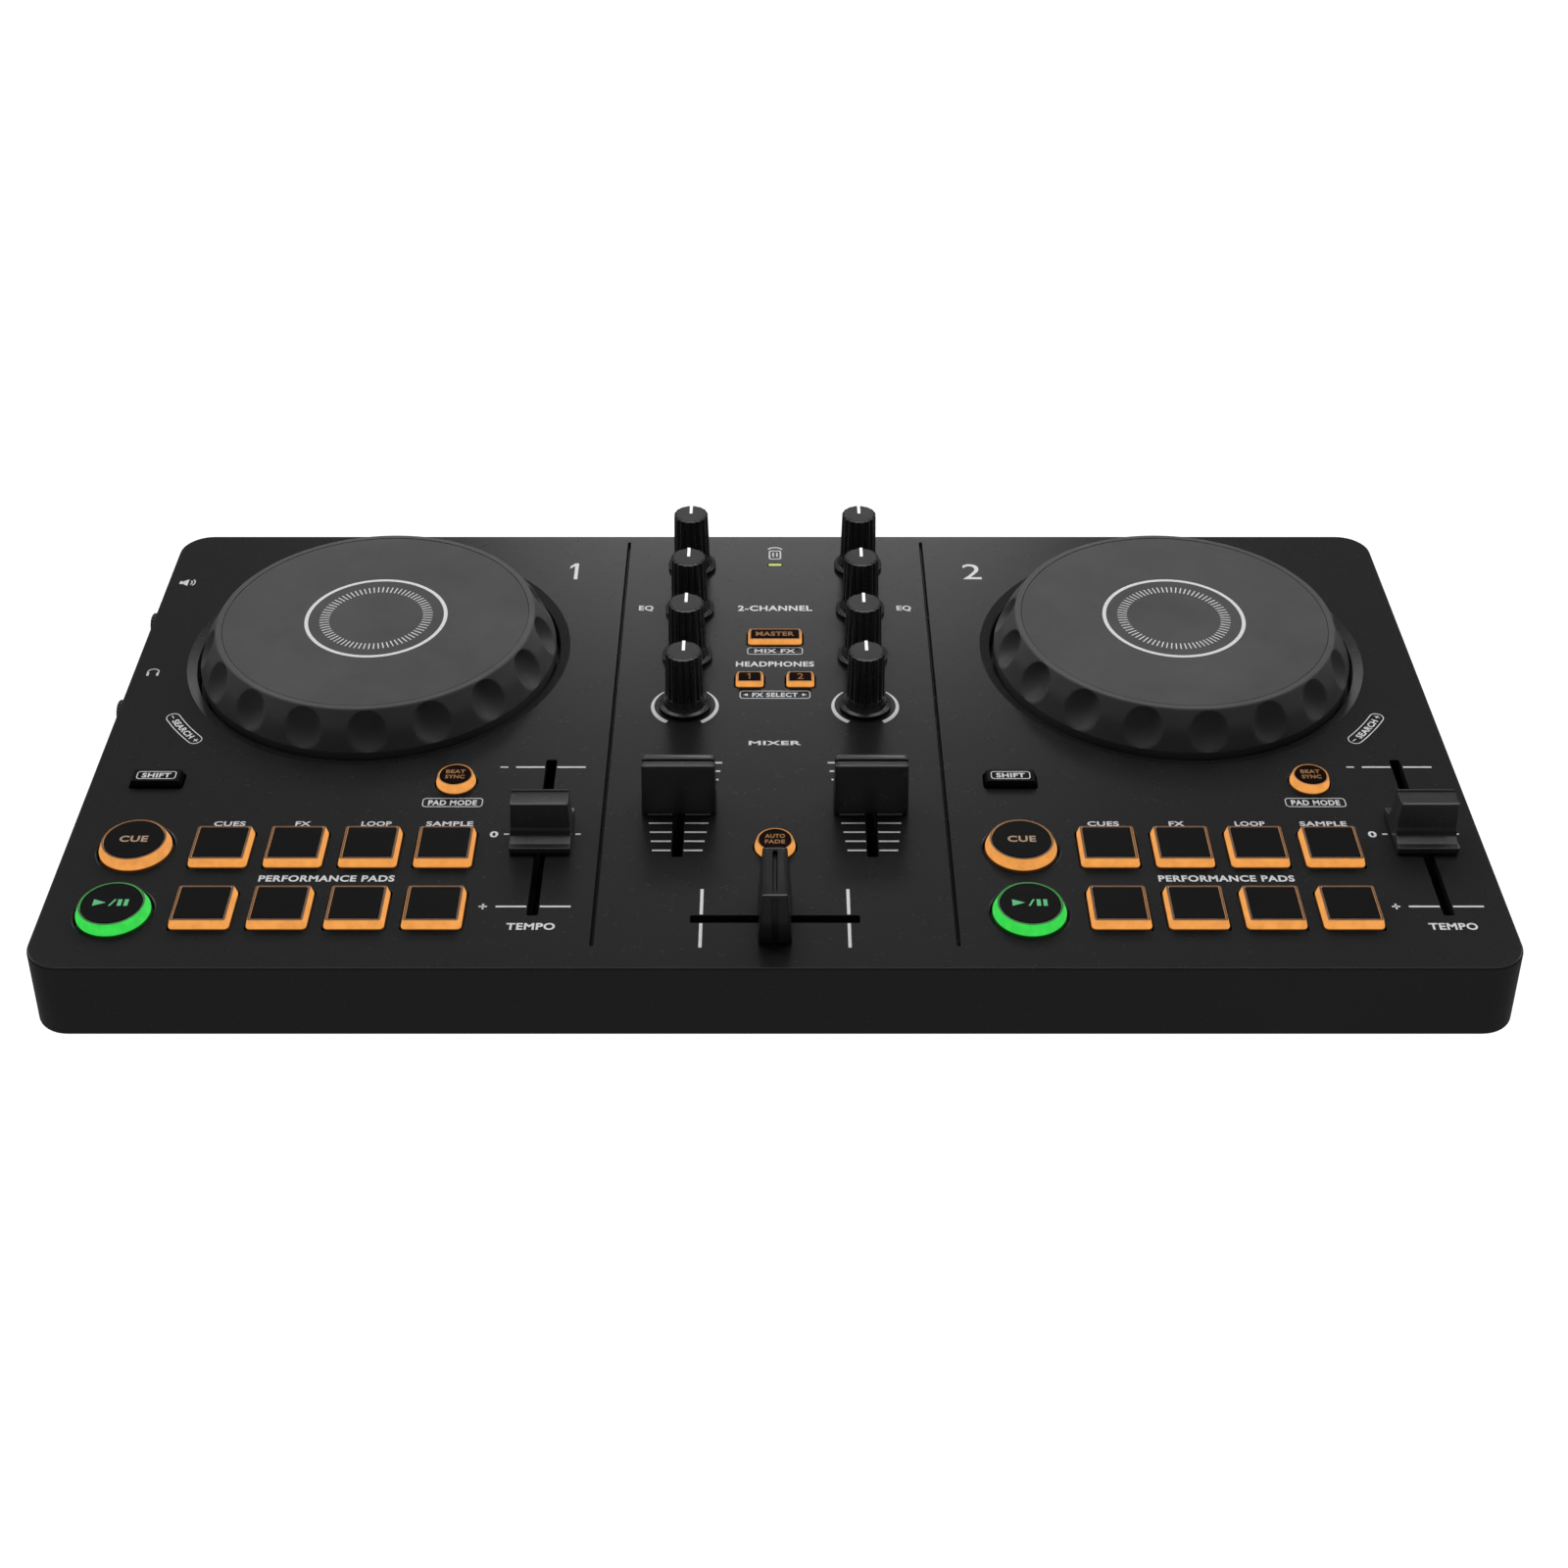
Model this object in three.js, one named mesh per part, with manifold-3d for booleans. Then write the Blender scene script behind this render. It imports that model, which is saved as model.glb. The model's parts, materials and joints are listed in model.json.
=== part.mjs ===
// A two-deck DJ controller: jog wheels, pads, keys, knobs and faders on one flat control plate.
// Millimetres, +Z up, front edge towards -Y. The origin is on the table, under the centre of the
// object's bounding box. Heights inside a deck or the mixer are measured from the control plate.
import * as THREE from 'three';
import { mergeVertices } from 'three/addons/utils/BufferGeometryUtils.js';
import Module from 'manifold-3d';

const wasm = await Module();
wasm.setup();

// ---- Driving dimensions ----
const caseWidth = 383.8; // along the lower edge of the walls
const caseDepth = 210.4;
const wallDraft = 0.7; // the side and front walls lean in this much on their way up
const cornerRadius = 9.5;
const plateTop = 27.5; // control plate above the table
const wallBottom = 5.5; // lower edge of the side walls above the table
const plateThickness = 2.5;
const wallThickness = 3.2;
const topBevel = 0.5;
const gap = 0.3; // between two pieces that touch
const panBottom = 3; // underside of the bottom pan above the table
const panFloor = 2.2;
const boardBottom = 9;
const boardThickness = 1.6;
const boardTop = boardBottom + boardThickness;
const boardSize = [364, 192];

// Decks
const deckPitch = 238.2;
const jogY = 38.8;
const jogRadius = 53;
const jogPlateRadius = 45.4;
const jogTop = 12;
const dimpleCount = 17;
const dimpleSize = [4.2, 6.2, 5.9]; // half extents of a finger scoop: radial, along the rim, up
const dimpleReach = 53.2;
const dimpleHeight = 6;
const dimpleTurn = 4.2 * Math.PI / 180; // from the ring's front to its nearest scoop
const wellRadius = 57.3;
const wellFloorRadius = 54.2;
const wellDepth = 7;
const wellLipDrop = 0.8; // the shallow slope around the well
const hubRadius = 5.7;
const jogShoulder = [50.6, 7]; // where the ring's flank starts to lean in, [radius, height]
const jogRim = [47.4, 11.7];
const padPitchX = 20;
const padPitchY = 25.1;
const padCentre = [0.4, -69.25];
const padSize = [15.6, 15.2];
const padHeight = 2.9;
const padTravel = 0.8;
const roundKeyX = -52.9;
const roundKeyRadius = 9.65;
const roundKeyHeight = 3.4;
const cueY = -56;
const playY = -82.5;
const shiftPlace = [-53.4, -26.1];
const shiftSize = [14.2, 6.2];
const syncPlace = [30.1, -26.7];
const smallKeyRadius = 5.5;
const smallKeyHeight = 3;
const smallTravel = 0.6;
const tempoX = 56;
const tempoY = -49.9;
const tempoTravel = 30; // each way from the middle

// Mixer
const channelX = 26.3;
const knobY = 10.1; // nearest knob of a channel
const knobPitch = 25.5;
const knobTop = 19.5;
const channelFaderY = -37.25;
const channelTravel = 19.6;
const crossfaderY = -85.1;
const crossfaderTravel = 19.2;
const blendKeyY = -55.5;
const masterKeyY = 45.1;
const masterKeySize = [16.3, 6.5];
const phonesKeyPlace = [7.5, 22.5];
const phonesKeySize = [8.2, 6];
const rectKeyHeight = 2.1;
const indicatorY = 87.6;
const grooveX = 47; // the two grooves that part the mixer from the decks
const grooveSize = [0.7, 197];
const grooveY = 2.75;
const knobHoleRadius = 3.7;
const lensSize = [4.1, 1.2];

// Left and rear walls
const dialPlaces = [66.5, 19.5]; // along Y: master level, headphone level
const dialHeight = 18; // dial axis above the table
const dialRadius = 4.3;
const dialProtrusion = 3.2;
const jackPlaces = [87.5, 35.5];
const jackHeight = 14.6;
const jackRadius = 3;
const jackBore = 1.8;
const usbHeight = 12.8;
const usbSize = [9, 3.3];

// Feet and fixing posts
const footPlace = [165, 82];
const footRadius = 8;
const postRadius = 3.3;
const postPlaces = [[181, 95], [56, 95], [181, -95], [56, -95]];
const standoffPlaces = [[90, 60], [90, -60], [150, 0]]; // board supports on the pan, both sides

const sides = [-1, 1];
const slotWidth = 2.9;
const stemDepth = 10.6; // fader stems reach this far below the plate top
const stemSize = [4.8, 1.6]; // along its slot and across it
const keyDepth = 6; // keys and pads reach this far below the plate top

// ---- Materials ----
const material = (color, roughness, metalness = 0) =>
  new THREE.MeshStandardMaterial({ color, roughness, metalness });
const caseBlack = material(0x2b2b2c, 0.62);
const panBlack = material(0x1c1c1d, 0.75);
const jogBlack = material(0x1e1e1f, 0.5);
const jogGrey = material(0x474748, 0.6);
const glossBlack = material(0x101011, 0.3);
const faderBlack = material(0x161617, 0.38);
const orangeLens = material(0xf0913a, 0.4);
const greenLens = material(0x1fd53a, 0.4);
const rubberBlack = material(0x18181a, 0.85);
const steel = material(0xb8bac0, 0.3, 1);
const boardGreen = material(0x1f4a34, 0.6);
const lensYellow = material(0xc9dc3c, 0.3);

// ---- Solids from three.js geometry ----
function solidOf(geometry) {
  const bare = geometry.clone();
  bare.deleteAttribute('normal');
  bare.deleteAttribute('uv');
  const merged = mergeVertices(bare, 1e-4);
  const corners = merged.index.array;
  const kept = [];
  for (let i = 0; i < corners.length; i += 3) {
    const [a, b, c] = [corners[i], corners[i + 1], corners[i + 2]];
    if (a !== b && b !== c && c !== a) kept.push(a, b, c);
  }
  return new wasm.Manifold(new wasm.Mesh({
    numProp: 3,
    vertProperties: new Float32Array(merged.attributes.position.array),
    triVerts: new Uint32Array(kept),
  }));
}

const join = (first, ...rest) => rest.reduce((sum, next) => sum.add(next), first);
const cut = (first, ...rest) => rest.reduce((left, next) => left.subtract(next), first);

function geometryOf(solid) {
  const { vertProperties, triVerts } = solid.getMesh();
  const geometry = new THREE.BufferGeometry();
  geometry.setAttribute('position', new THREE.BufferAttribute(vertProperties, 3));
  geometry.setIndex(new THREE.BufferAttribute(triVerts, 1));
  geometry.computeVertexNormals();
  return geometry;
}

function piece(name, geometry, look, x = 0, y = 0, z = 0) {
  const mesh = new THREE.Mesh(geometry, look);
  mesh.name = name;
  mesh.position.set(x, y, z);
  return mesh;
}

// A box from zLow to zHigh, centred on x, y
function box([width, depth], zLow, zHigh, x = 0, y = 0) {
  const geometry = new THREE.BoxGeometry(width, depth, zHigh - zLow);
  return solidOf(geometry.translate(x, y, (zLow + zHigh) / 2));
}

// A box that narrows from its foot to its top
function taper([width, depth], [topWidth, topDepth], zLow, zHigh) {
  const geometry = new THREE.BoxGeometry(width, depth, zHigh - zLow);
  const points = geometry.attributes.position;
  for (let i = 0; i < points.count; i += 1) {
    if (points.getZ(i) > 0) {
      points.setX(i, Math.sign(points.getX(i)) * topWidth / 2);
      points.setY(i, Math.sign(points.getY(i)) * topDepth / 2);
    }
  }
  return solidOf(geometry.translate(0, 0, (zLow + zHigh) / 2));
}

function cylinder(radius, zLow, zHigh, x = 0, y = 0, segments = 24) {
  const geometry = new THREE.CylinderGeometry(radius, radius, zHigh - zLow, segments);
  geometry.rotateX(Math.PI / 2);
  return solidOf(geometry.translate(x, y, (zLow + zHigh) / 2));
}

// A cylinder along X
function crossCylinder(radius, xLow, xHigh, y, z, segments = 24) {
  const geometry = new THREE.CylinderGeometry(radius, radius, xHigh - xLow, segments);
  geometry.rotateZ(Math.PI / 2);
  return solidOf(geometry.translate((xLow + xHigh) / 2, y, z));
}

// A body turned about Z from [radius, height] points, listed upwards on the outside
function turned(profile, segments) {
  const points = profile.map(([radius, height]) => new THREE.Vector2(radius, height));
  return solidOf(new THREE.LatheGeometry(points, segments).rotateX(Math.PI / 2));
}

function roundedRectangle(width, depth, radius) {
  const [x, y] = [width / 2 - radius, depth / 2 - radius];
  const outline = new THREE.Shape();
  outline.absarc(x, y, radius, 0, Math.PI / 2);
  outline.absarc(-x, y, radius, Math.PI / 2, Math.PI);
  outline.absarc(-x, -y, radius, Math.PI, Math.PI * 1.5);
  outline.absarc(x, -y, radius, Math.PI * 1.5, Math.PI * 2);
  outline.closePath();
  return outline;
}

// An upright prism with rounded corners; bevel chamfers its top and bottom edges
function slab(width, depth, radius, zLow, zHigh, bevel = 0, curveSegments = 6) {
  const geometry = new THREE.ExtrudeGeometry(roundedRectangle(width, depth, radius), {
    depth: zHigh - zLow - 2 * bevel,
    curveSegments,
    bevelEnabled: bevel > 0,
    bevelThickness: bevel,
    bevelSize: bevel,
    bevelOffset: -bevel,
    bevelSegments: 1,
  });
  return solidOf(geometry.translate(0, 0, zLow + bevel));
}

// ---- Case ----
const wellFloor = plateTop - wellDepth;
const wellWall = 2;
const through = [plateTop - plateThickness - 1, plateTop + 1];
const keyClearance = 0.4;

function wellCutter(x) {
  const cutter = turned([
    [0, wellFloor], [wellFloorRadius, wellFloor], [wellFloorRadius, plateTop - wellLipDrop],
    [wellRadius, plateTop], [wellRadius, plateTop + 1], [0, plateTop + 1],
  ], 36);
  const hubHole = cylinder(4, wellFloor - wellWall - 1, wellFloor + 1, 0, 0, 12);
  return join(cutter, hubHole).translate([x, jogY, 0]);
}

function wellTub(x) {
  const radius = wellRadius + wellWall;
  return cylinder(radius, wellFloor - wellWall, plateTop - 1, x, jogY, 24);
}

function rectangleHole([width, depth], x, y, clearance = keyClearance) {
  return box([width + 2 * clearance, depth + 2 * clearance], ...through, x, y);
}

// A round hole with a shallow chamfer around its mouth
function roundHole(radius, x, y, chamfer) {
  const straight = cylinder(radius + keyClearance, ...through, x, y, 16);
  const mouth = turned([
    [0, plateTop - chamfer / 2], [radius + keyClearance, plateTop - chamfer / 2],
    [radius + keyClearance + chamfer, plateTop], [radius + keyClearance + chamfer, plateTop + 1],
    [0, plateTop + 1],
  ], 16).translate([x, y, 0]);
  return straight.add(mouth);
}

function padPlaces() {
  const places = [];
  for (let row = 0; row < 2; row += 1) {
    for (let column = 0; column < 4; column += 1) {
      const x = padCentre[0] + (column - 1.5) * padPitchX;
      const y = padCentre[1] + (0.5 - row) * padPitchY;
      places.push([x, y]);
    }
  }
  return places;
}

function deckHoles(x) {
  const tempoLength = 2 * tempoTravel + 7.4;
  return [
    ...padPlaces().map(([dx, y]) => rectangleHole(padSize, x + dx, y)),
    roundHole(roundKeyRadius, x + roundKeyX, cueY, 1),
    roundHole(roundKeyRadius, x + roundKeyX, playY, 1),
    rectangleHole(shiftSize, x + shiftPlace[0], shiftPlace[1]),
    roundHole(smallKeyRadius, x + syncPlace[0], syncPlace[1], 0.4),
    rectangleHole([slotWidth, tempoLength], x + tempoX, tempoY, 0),
  ];
}

function mixerHoles() {
  const channelLength = 2 * channelTravel + 5.4;
  const crossLength = 2 * crossfaderTravel + 5.6;
  const holes = [
    rectangleHole([crossLength, slotWidth], 0, crossfaderY, 0),
    roundHole(smallKeyRadius, 0, blendKeyY, 0.4),
    rectangleHole(masterKeySize, 0, masterKeyY),
    rectangleHole(lensSize, 0, indicatorY, 0.2),
  ];
  for (const side of sides) {
    holes.push(rectangleHole([slotWidth, channelLength], side * channelX, channelFaderY, 0));
    holes.push(rectangleHole(phonesKeySize, side * phonesKeyPlace[0], phonesKeyPlace[1]));
    for (let i = 0; i < 4; i += 1) {
      holes.push(cylinder(knobHoleRadius, ...through, side * channelX, knobY + i * knobPitch, 12));
    }
    holes.push(box(grooveSize, plateTop - 0.5, plateTop + 1, side * grooveX, grooveY));
  }
  return holes;
}

function wallHoles() {
  const left = [-caseWidth / 2 - 1, -caseWidth / 2 + wallThickness + 1];
  const rear = box([usbSize[0] + 0.6, 8], usbHeight - 1.95, usbHeight + 1.95, 0, caseDepth / 2);
  return [
    ...dialPlaces.map((y) => crossCylinder(dialRadius + 0.4, ...left, y, dialHeight, 20)),
    ...jackPlaces.map((y) => crossCylinder(jackRadius + 0.4, ...left, y, jackHeight, 16)),
    rear,
  ];
}

// Fixing posts hang from the plate to just above the pan; a screw enters each from below
function fixingPost(x, y) {
  const foot = panBottom + panFloor + gap;
  const post = cylinder(postRadius, foot, plateTop - 1, x, y, 10);
  return post.subtract(cylinder(1.2, foot - 1, foot + 9, x, y, 6));
}

function postCentres() {
  return postPlaces.flatMap(([x, y]) => sides.map((side) => [side * x, y]));
}

// Leans the side and front walls of a solid inwards; its rear wall stays upright
function drafted(solid) {
  return solid.warp((point) => {
    const lean = wallDraft * (point[2] - wallBottom) / (plateTop - wallBottom);
    point[0] *= 1 - lean / (caseWidth / 2);
    point[1] += lean * (0.5 - point[1] / caseDepth);
  });
}

function topCase() {
  const inner = [caseWidth - 2 * wallThickness, caseDepth - 2 * wallThickness];
  const outside = drafted(slab(caseWidth, caseDepth, cornerRadius, wallBottom, plateTop, topBevel));
  const inside = slab(...inner, cornerRadius - wallThickness, wallBottom - 1, through[0] + 1);
  const deckXs = sides.map((side) => side * deckPitch / 2);
  const shell = join(cut(outside, inside), ...deckXs.map(wellTub));
  const posts = postCentres().map(([x, y]) => fixingPost(x, y));
  return cut(
    join(shell, ...posts),
    ...deckXs.map(wellCutter),
    ...deckXs.flatMap(deckHoles),
    ...mixerHoles(),
    ...wallHoles(),
  );
}

function bottomCase() {
  const [width, depth] = [
    caseWidth - 2 * wallThickness - 2 * gap, caseDepth - 2 * wallThickness - 2 * gap];
  const radius = cornerRadius - wallThickness - gap;
  const rim = 1.8;
  const bevel = 1;
  const outside = slab(width, depth, radius, panBottom, boardBottom - gap, bevel);
  const pocket = slab(
    width - 2 * rim, depth - 2 * rim, radius - rim, panBottom + panFloor, boardBottom + 1);
  const standoffs = standoffPlaces.flatMap(([x, y]) => sides.map(
    (side) => cylinder(3, panBottom + 1, boardBottom - gap, side * x, y, 8)));
  const footRecesses = footCentres().map(
    ([x, y]) => cylinder(footRadius + 0.4, panBottom - 1, panBottom + 0.9, x, y, 20));
  const screwHoles = postCentres().map(([x, y]) => join(
    cylinder(1.8, panBottom - 1, panBottom + 4, x, y, 8),
    cylinder(3, panBottom - 1, panBottom + 1.2, x, y, 12)));
  const tray = join(cut(outside, pocket), ...standoffs);
  return cut(tray, ...footRecesses, ...screwHoles);
}

function footCentres() {
  return sides.flatMap((sideY) => sides.map((side) => [side * footPlace[0], sideY * footPlace[1]]));
}

function foot() {
  return turned([
    [0, 0], [footRadius - 0.8, 0], [footRadius, 0.8], [footRadius, panBottom + 0.6],
    [0, panBottom + 0.6],
  ], 16);
}

// ---- Electronics ----
const switchTop = (travel) => plateTop - keyDepth - travel - gap;

function keySwitch(x, y, travel) {
  return box([6, 6], boardTop - 0.5, switchTop(travel), x, y);
}

// A slide potentiometer with the channel that its fader's stem runs in
function slidePot(x, y, travel, alongX) {
  const top = plateTop - stemDepth + 1.5;
  const [long, short] = [2 * travel + 18, 9];
  const [slotLong, slotShort] = [2 * travel + 10, 2.6];
  const body = alongX ? [long, short] : [short, long];
  const slot = alongX ? [slotLong, slotShort] : [slotShort, slotLong];
  return box(body, boardTop - 0.5, top, x, y).subtract(box(slot, top - 3.5, top + 1, x, y));
}

function deckSwitches(x) {
  return [
    ...padPlaces().map(([dx, y]) => keySwitch(x + dx, y, padTravel)),
    keySwitch(x + roundKeyX, cueY, padTravel),
    keySwitch(x + roundKeyX, playY, padTravel),
    keySwitch(x + shiftPlace[0], shiftPlace[1], smallTravel),
    keySwitch(x + syncPlace[0], syncPlace[1], smallTravel),
    slidePot(x + tempoX, tempoY, tempoTravel, false),
  ];
}

function mainBoard() {
  const sheet = slab(...boardSize, 4, boardBottom, boardTop);
  const parts = [
    keySwitch(0, blendKeyY, smallTravel),
    keySwitch(0, masterKeyY, smallTravel),
    slidePot(0, crossfaderY, crossfaderTravel, true),
  ];
  for (const side of sides) {
    parts.push(...deckSwitches(side * deckPitch / 2));
    parts.push(keySwitch(side * phonesKeyPlace[0], phonesKeyPlace[1], smallTravel));
    parts.push(slidePot(side * channelX, channelFaderY, channelTravel, false));
    for (let i = 0; i < 4; i += 1) {
      const y = knobY + i * knobPitch;
      parts.push(box([10, 11], boardTop - 0.5, plateTop - 10.5, side * channelX, y));
    }
  }
  const dialPots = dialPlaces.map(
    (y) => box([5, 9], boardTop - 0.5, dialHeight + 4.5, -180, y));
  const postHoles = postCentres().map(
    ([x, y]) => cylinder(postRadius + 0.8, boardBottom - 1, boardTop + 1, x, y, 10));
  return join(cut(sheet, ...postHoles), ...parts, ...dialPots);
}

function jack() {
  const nose = crossCylinder(jackRadius, 0.4, 5, 0, 0, 16);
  const body = box([10, 6.4], -3.6, 3.2).translate([8.5, 0, 0]);
  return join(nose, body).subtract(crossCylinder(jackBore, -1, 12, 0, 0, 10));
}

function usbPort() {
  const [width, height] = usbSize;
  const shell = slab(width, height, height / 2 - 0.01, 0, 8, 0, 3);
  const hollow = slab(width - 0.8, height - 0.8, height / 2 - 0.41, 1, 9, 0, 3);
  const tongue = box([5.6, 0.7], 0.5, 6.6);
  return join(cut(shell, hollow), tongue).rotate([-90, 0, 0]);
}

function indicatorLens() {
  return join(box(lensSize, -4, 0.1), box([6, 3], -4, -plateThickness - gap));
}

// ---- Jog wheel ----
function jogHub() {
  const floor = -wellDepth + gap;
  return turned([
    [0, floor - 2.2], [3.7, floor - 2.2], [3.7, floor], [9, floor], [9, floor + 1.2],
    [hubRadius, floor + 1.2], [hubRadius, jogTop - 2], [0, jogTop - 2],
  ], 16);
}

function jogRing() {
  const bore = hubRadius + 0.4;
  const floor = -wellDepth + 2.8;
  const web = jogTop - 1.8;
  const lip = jogPlateRadius + gap;
  const ring = turned([
    [jogRadius, floor], [jogRadius, 0.8], jogShoulder, jogRim, [jogRim[0] - 0.4, jogTop],
    [lip, jogTop], [lip, web], [bore, web], [bore, floor],
    [bore + 3.3, floor], [bore + 3.3, web - 2.8], [44, web - 2.8], [49.5, floor],
    [jogRadius, floor],
  ], 2 * dimpleCount);
  const dimples = [];
  for (let i = 0; i < dimpleCount; i += 1) {
    const angle = (i / dimpleCount) * 2 * Math.PI - Math.PI / 2 + dimpleTurn;
    const scoop = new THREE.SphereGeometry(1, 6, 4).scale(...dimpleSize);
    scoop.rotateZ(angle);
    dimples.push(solidOf(scoop.translate(
      dimpleReach * Math.cos(angle), dimpleReach * Math.sin(angle), dimpleHeight)));
  }
  return cut(ring, ...dimples);
}

function jogPlate() {
  const underside = jogTop - 1.8 + gap;
  return turned([
    [0, underside], [jogPlateRadius, underside], [jogPlateRadius, jogTop - 0.2],
    [jogPlateRadius - 0.2, jogTop], [0, jogTop],
  ], 36);
}

// ---- Keys and pads ----
const flangeTop = -plateThickness - gap;
const flangeThickness = 1.2;
const flangeLip = 0.9;

function pad() {
  const [width, depth] = padSize;
  const flange = [width + 2 * flangeLip, depth + 2 * flangeLip];
  return join(
    box(padSize, flangeTop - 0.5, 0.6),
    taper(padSize, [width - 2.3, depth - 2.5], 0.6, padHeight),
    box(flange, flangeTop - flangeThickness, flangeTop),
    box([6, 6], -keyDepth, flangeTop - 0.5),
  );
}

function rectangleKey([width, depth]) {
  return join(
    box([width, depth], flangeTop - 0.5, 1),
    taper([width, depth], [width - 1.2, depth - 1.2], 1, rectKeyHeight),
    box([width + 1.8, depth + 1.8], flangeTop - flangeThickness, flangeTop),
    box([5, 4], -keyDepth, flangeTop - 0.5),
  );
}

function roundKey(radius, height, segments) {
  const shoulder = radius * 0.86;
  const flange = radius + 1.2;
  return turned([
    [0, -keyDepth], [3, -keyDepth], [3, flangeTop - flangeThickness],
    [flange, flangeTop - flangeThickness], [flange, flangeTop], [radius, flangeTop],
    [radius, height * 0.3], [shoulder, height * 0.85], [shoulder - 0.5, height], [0, height],
  ], segments);
}

// ---- Knobs, dials and fader caps ----
const fluteCount = 16;
const fluteDepth = 0.45;

// A fluted column that narrows from its lower radius to its upper radius
function flutedColumn(lowRadius, highRadius, zLow, zHigh) {
  const outline = [];
  for (let i = 0; i < 2 * fluteCount; i += 1) {
    const angle = (i / fluteCount) * Math.PI;
    const radius = lowRadius - (i % 2) * fluteDepth;
    outline.push(new THREE.Vector2(radius * Math.cos(angle), radius * Math.sin(angle)));
  }
  const depth = zHigh - zLow;
  const geometry = new THREE.ExtrudeGeometry(
    new THREE.Shape(outline), { depth, bevelEnabled: false });
  const points = geometry.attributes.position;
  for (let i = 0; i < points.count; i += 1) {
    if (points.getZ(i) > depth / 2) {
      points.setX(i, points.getX(i) * highRadius / lowRadius);
      points.setY(i, points.getY(i) * highRadius / lowRadius);
    }
  }
  return solidOf(geometry.translate(0, 0, zLow));
}

function knob() {
  const skirt = turned([
    [0, 0.7], [7.5, 0.7], [7.5, 1.5], [6, 3.2], [0, 3.2],
  ], 20);
  const shaft = cylinder(3, -10.2, 1, 0, 0, 10);
  return join(skirt, flutedColumn(5.65, 5.2, 2.5, knobTop), shaft);
}

// The dial turns about X and stands out of the left wall
function levelDial() {
  return turned([
    [0, -4.2], [2, -4.2], [2, -2], [dialRadius, -2], [dialRadius, dialProtrusion - 0.4],
    [dialRadius - 0.4, dialProtrusion], [0, dialProtrusion],
  ], 20).rotate([0, -90, 0]);
}

function stem(alongX) {
  const [long, short] = stemSize;
  return box(alongX ? [long, short] : [short, long], -stemDepth, 1.2);
}

const grooveWidth = 1.3;
const grooveDepth = 0.8;

// The same cap fits the channel faders and, turned, the crossfader
function blockCap(alongX) {
  const [length, depth, topLength, topDepth, height] = [20.6, 9, 18.8, 6.4, 16.2];
  const block = taper([length, depth], [topLength, topDepth], gap + 0.2, height);
  const groove = box([length + 2, grooveWidth], height - grooveDepth, height + 1);
  const ends = sides.map((side) => taper([1, grooveWidth], [1, grooveWidth], 2, height + 1)
    .translate([side * (length / 2 - 0.4), 0, 0]));
  const cap = cut(block, groove, ...ends);
  return join(alongX ? cap.rotate([0, 0, 90]) : cap, stem(alongX));
}

function tempoCap() {
  const [width, topWidth, height] = [16.6, 15.5, 13];
  const half = [[9.1, 0.6], [9.1, 2.2], [5.7, 3.3], [4.1, 6.4], [3.4, height]];
  const outline = new THREE.Shape([
    ...half.map(([y, z]) => new THREE.Vector2(y, z)),
    ...half.slice().reverse().map(([y, z]) => new THREE.Vector2(-y, z)),
  ]);
  const geometry = new THREE.ExtrudeGeometry(outline, { depth: width, bevelEnabled: false });
  geometry.rotateX(Math.PI / 2).rotateZ(Math.PI / 2).translate(-width / 2, 0, 0);
  const points = geometry.attributes.position;
  for (let i = 0; i < points.count; i += 1) {
    const share = points.getZ(i) / height;
    points.setX(i, points.getX(i) * (1 - share * (1 - topWidth / width)));
  }
  const groove = box([width + 2, grooveWidth], height - grooveDepth, height + 1);
  return join(solidOf(geometry).subtract(groove), stem(false));
}

// ---- Assembly ----
const shape = {
  pad: geometryOf(pad()),
  roundKey: geometryOf(roundKey(roundKeyRadius, roundKeyHeight, 20)),
  smallKey: geometryOf(roundKey(smallKeyRadius, smallKeyHeight, 16)),
  knob: geometryOf(knob()),
  blockCap: geometryOf(blockCap(false)),
  tempoCap: geometryOf(tempoCap()),
  jogRing: geometryOf(jogRing()),
  jogPlate: geometryOf(jogPlate()),
  jogHub: geometryOf(jogHub()),
  foot: geometryOf(foot()),
  jack: geometryOf(jack()),
  levelDial: geometryOf(levelDial()),
};

function deck(number) {
  const group = new THREE.Group();
  group.position.set((number === 1 ? -1 : 1) * deckPitch / 2, 0, plateTop);
  group.add(
    piece(`jog_hub_${number}`, shape.jogHub, steel, 0, jogY),
    piece(`jog_ring_${number}`, shape.jogRing, jogBlack, 0, jogY),
    piece(`jog_plate_${number}`, shape.jogPlate, jogGrey, 0, jogY),
    piece(`tempo_fader_${number}`, shape.tempoCap, faderBlack, tempoX, tempoY),
    piece(`cue_key_${number}`, shape.roundKey, orangeLens, roundKeyX, cueY),
    piece(`play_key_${number}`, shape.roundKey, greenLens, roundKeyX, playY),
    piece(`shift_key_${number}`, geometryOf(rectangleKey(shiftSize)), glossBlack, ...shiftPlace),
    piece(`sync_key_${number}`, shape.smallKey, orangeLens, ...syncPlace),
  );
  padPlaces().forEach(([x, y], i) => {
    group.add(piece(`pad_${number}_${i + 1}`, shape.pad, orangeLens, x, y));
  });
  return group;
}

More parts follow.
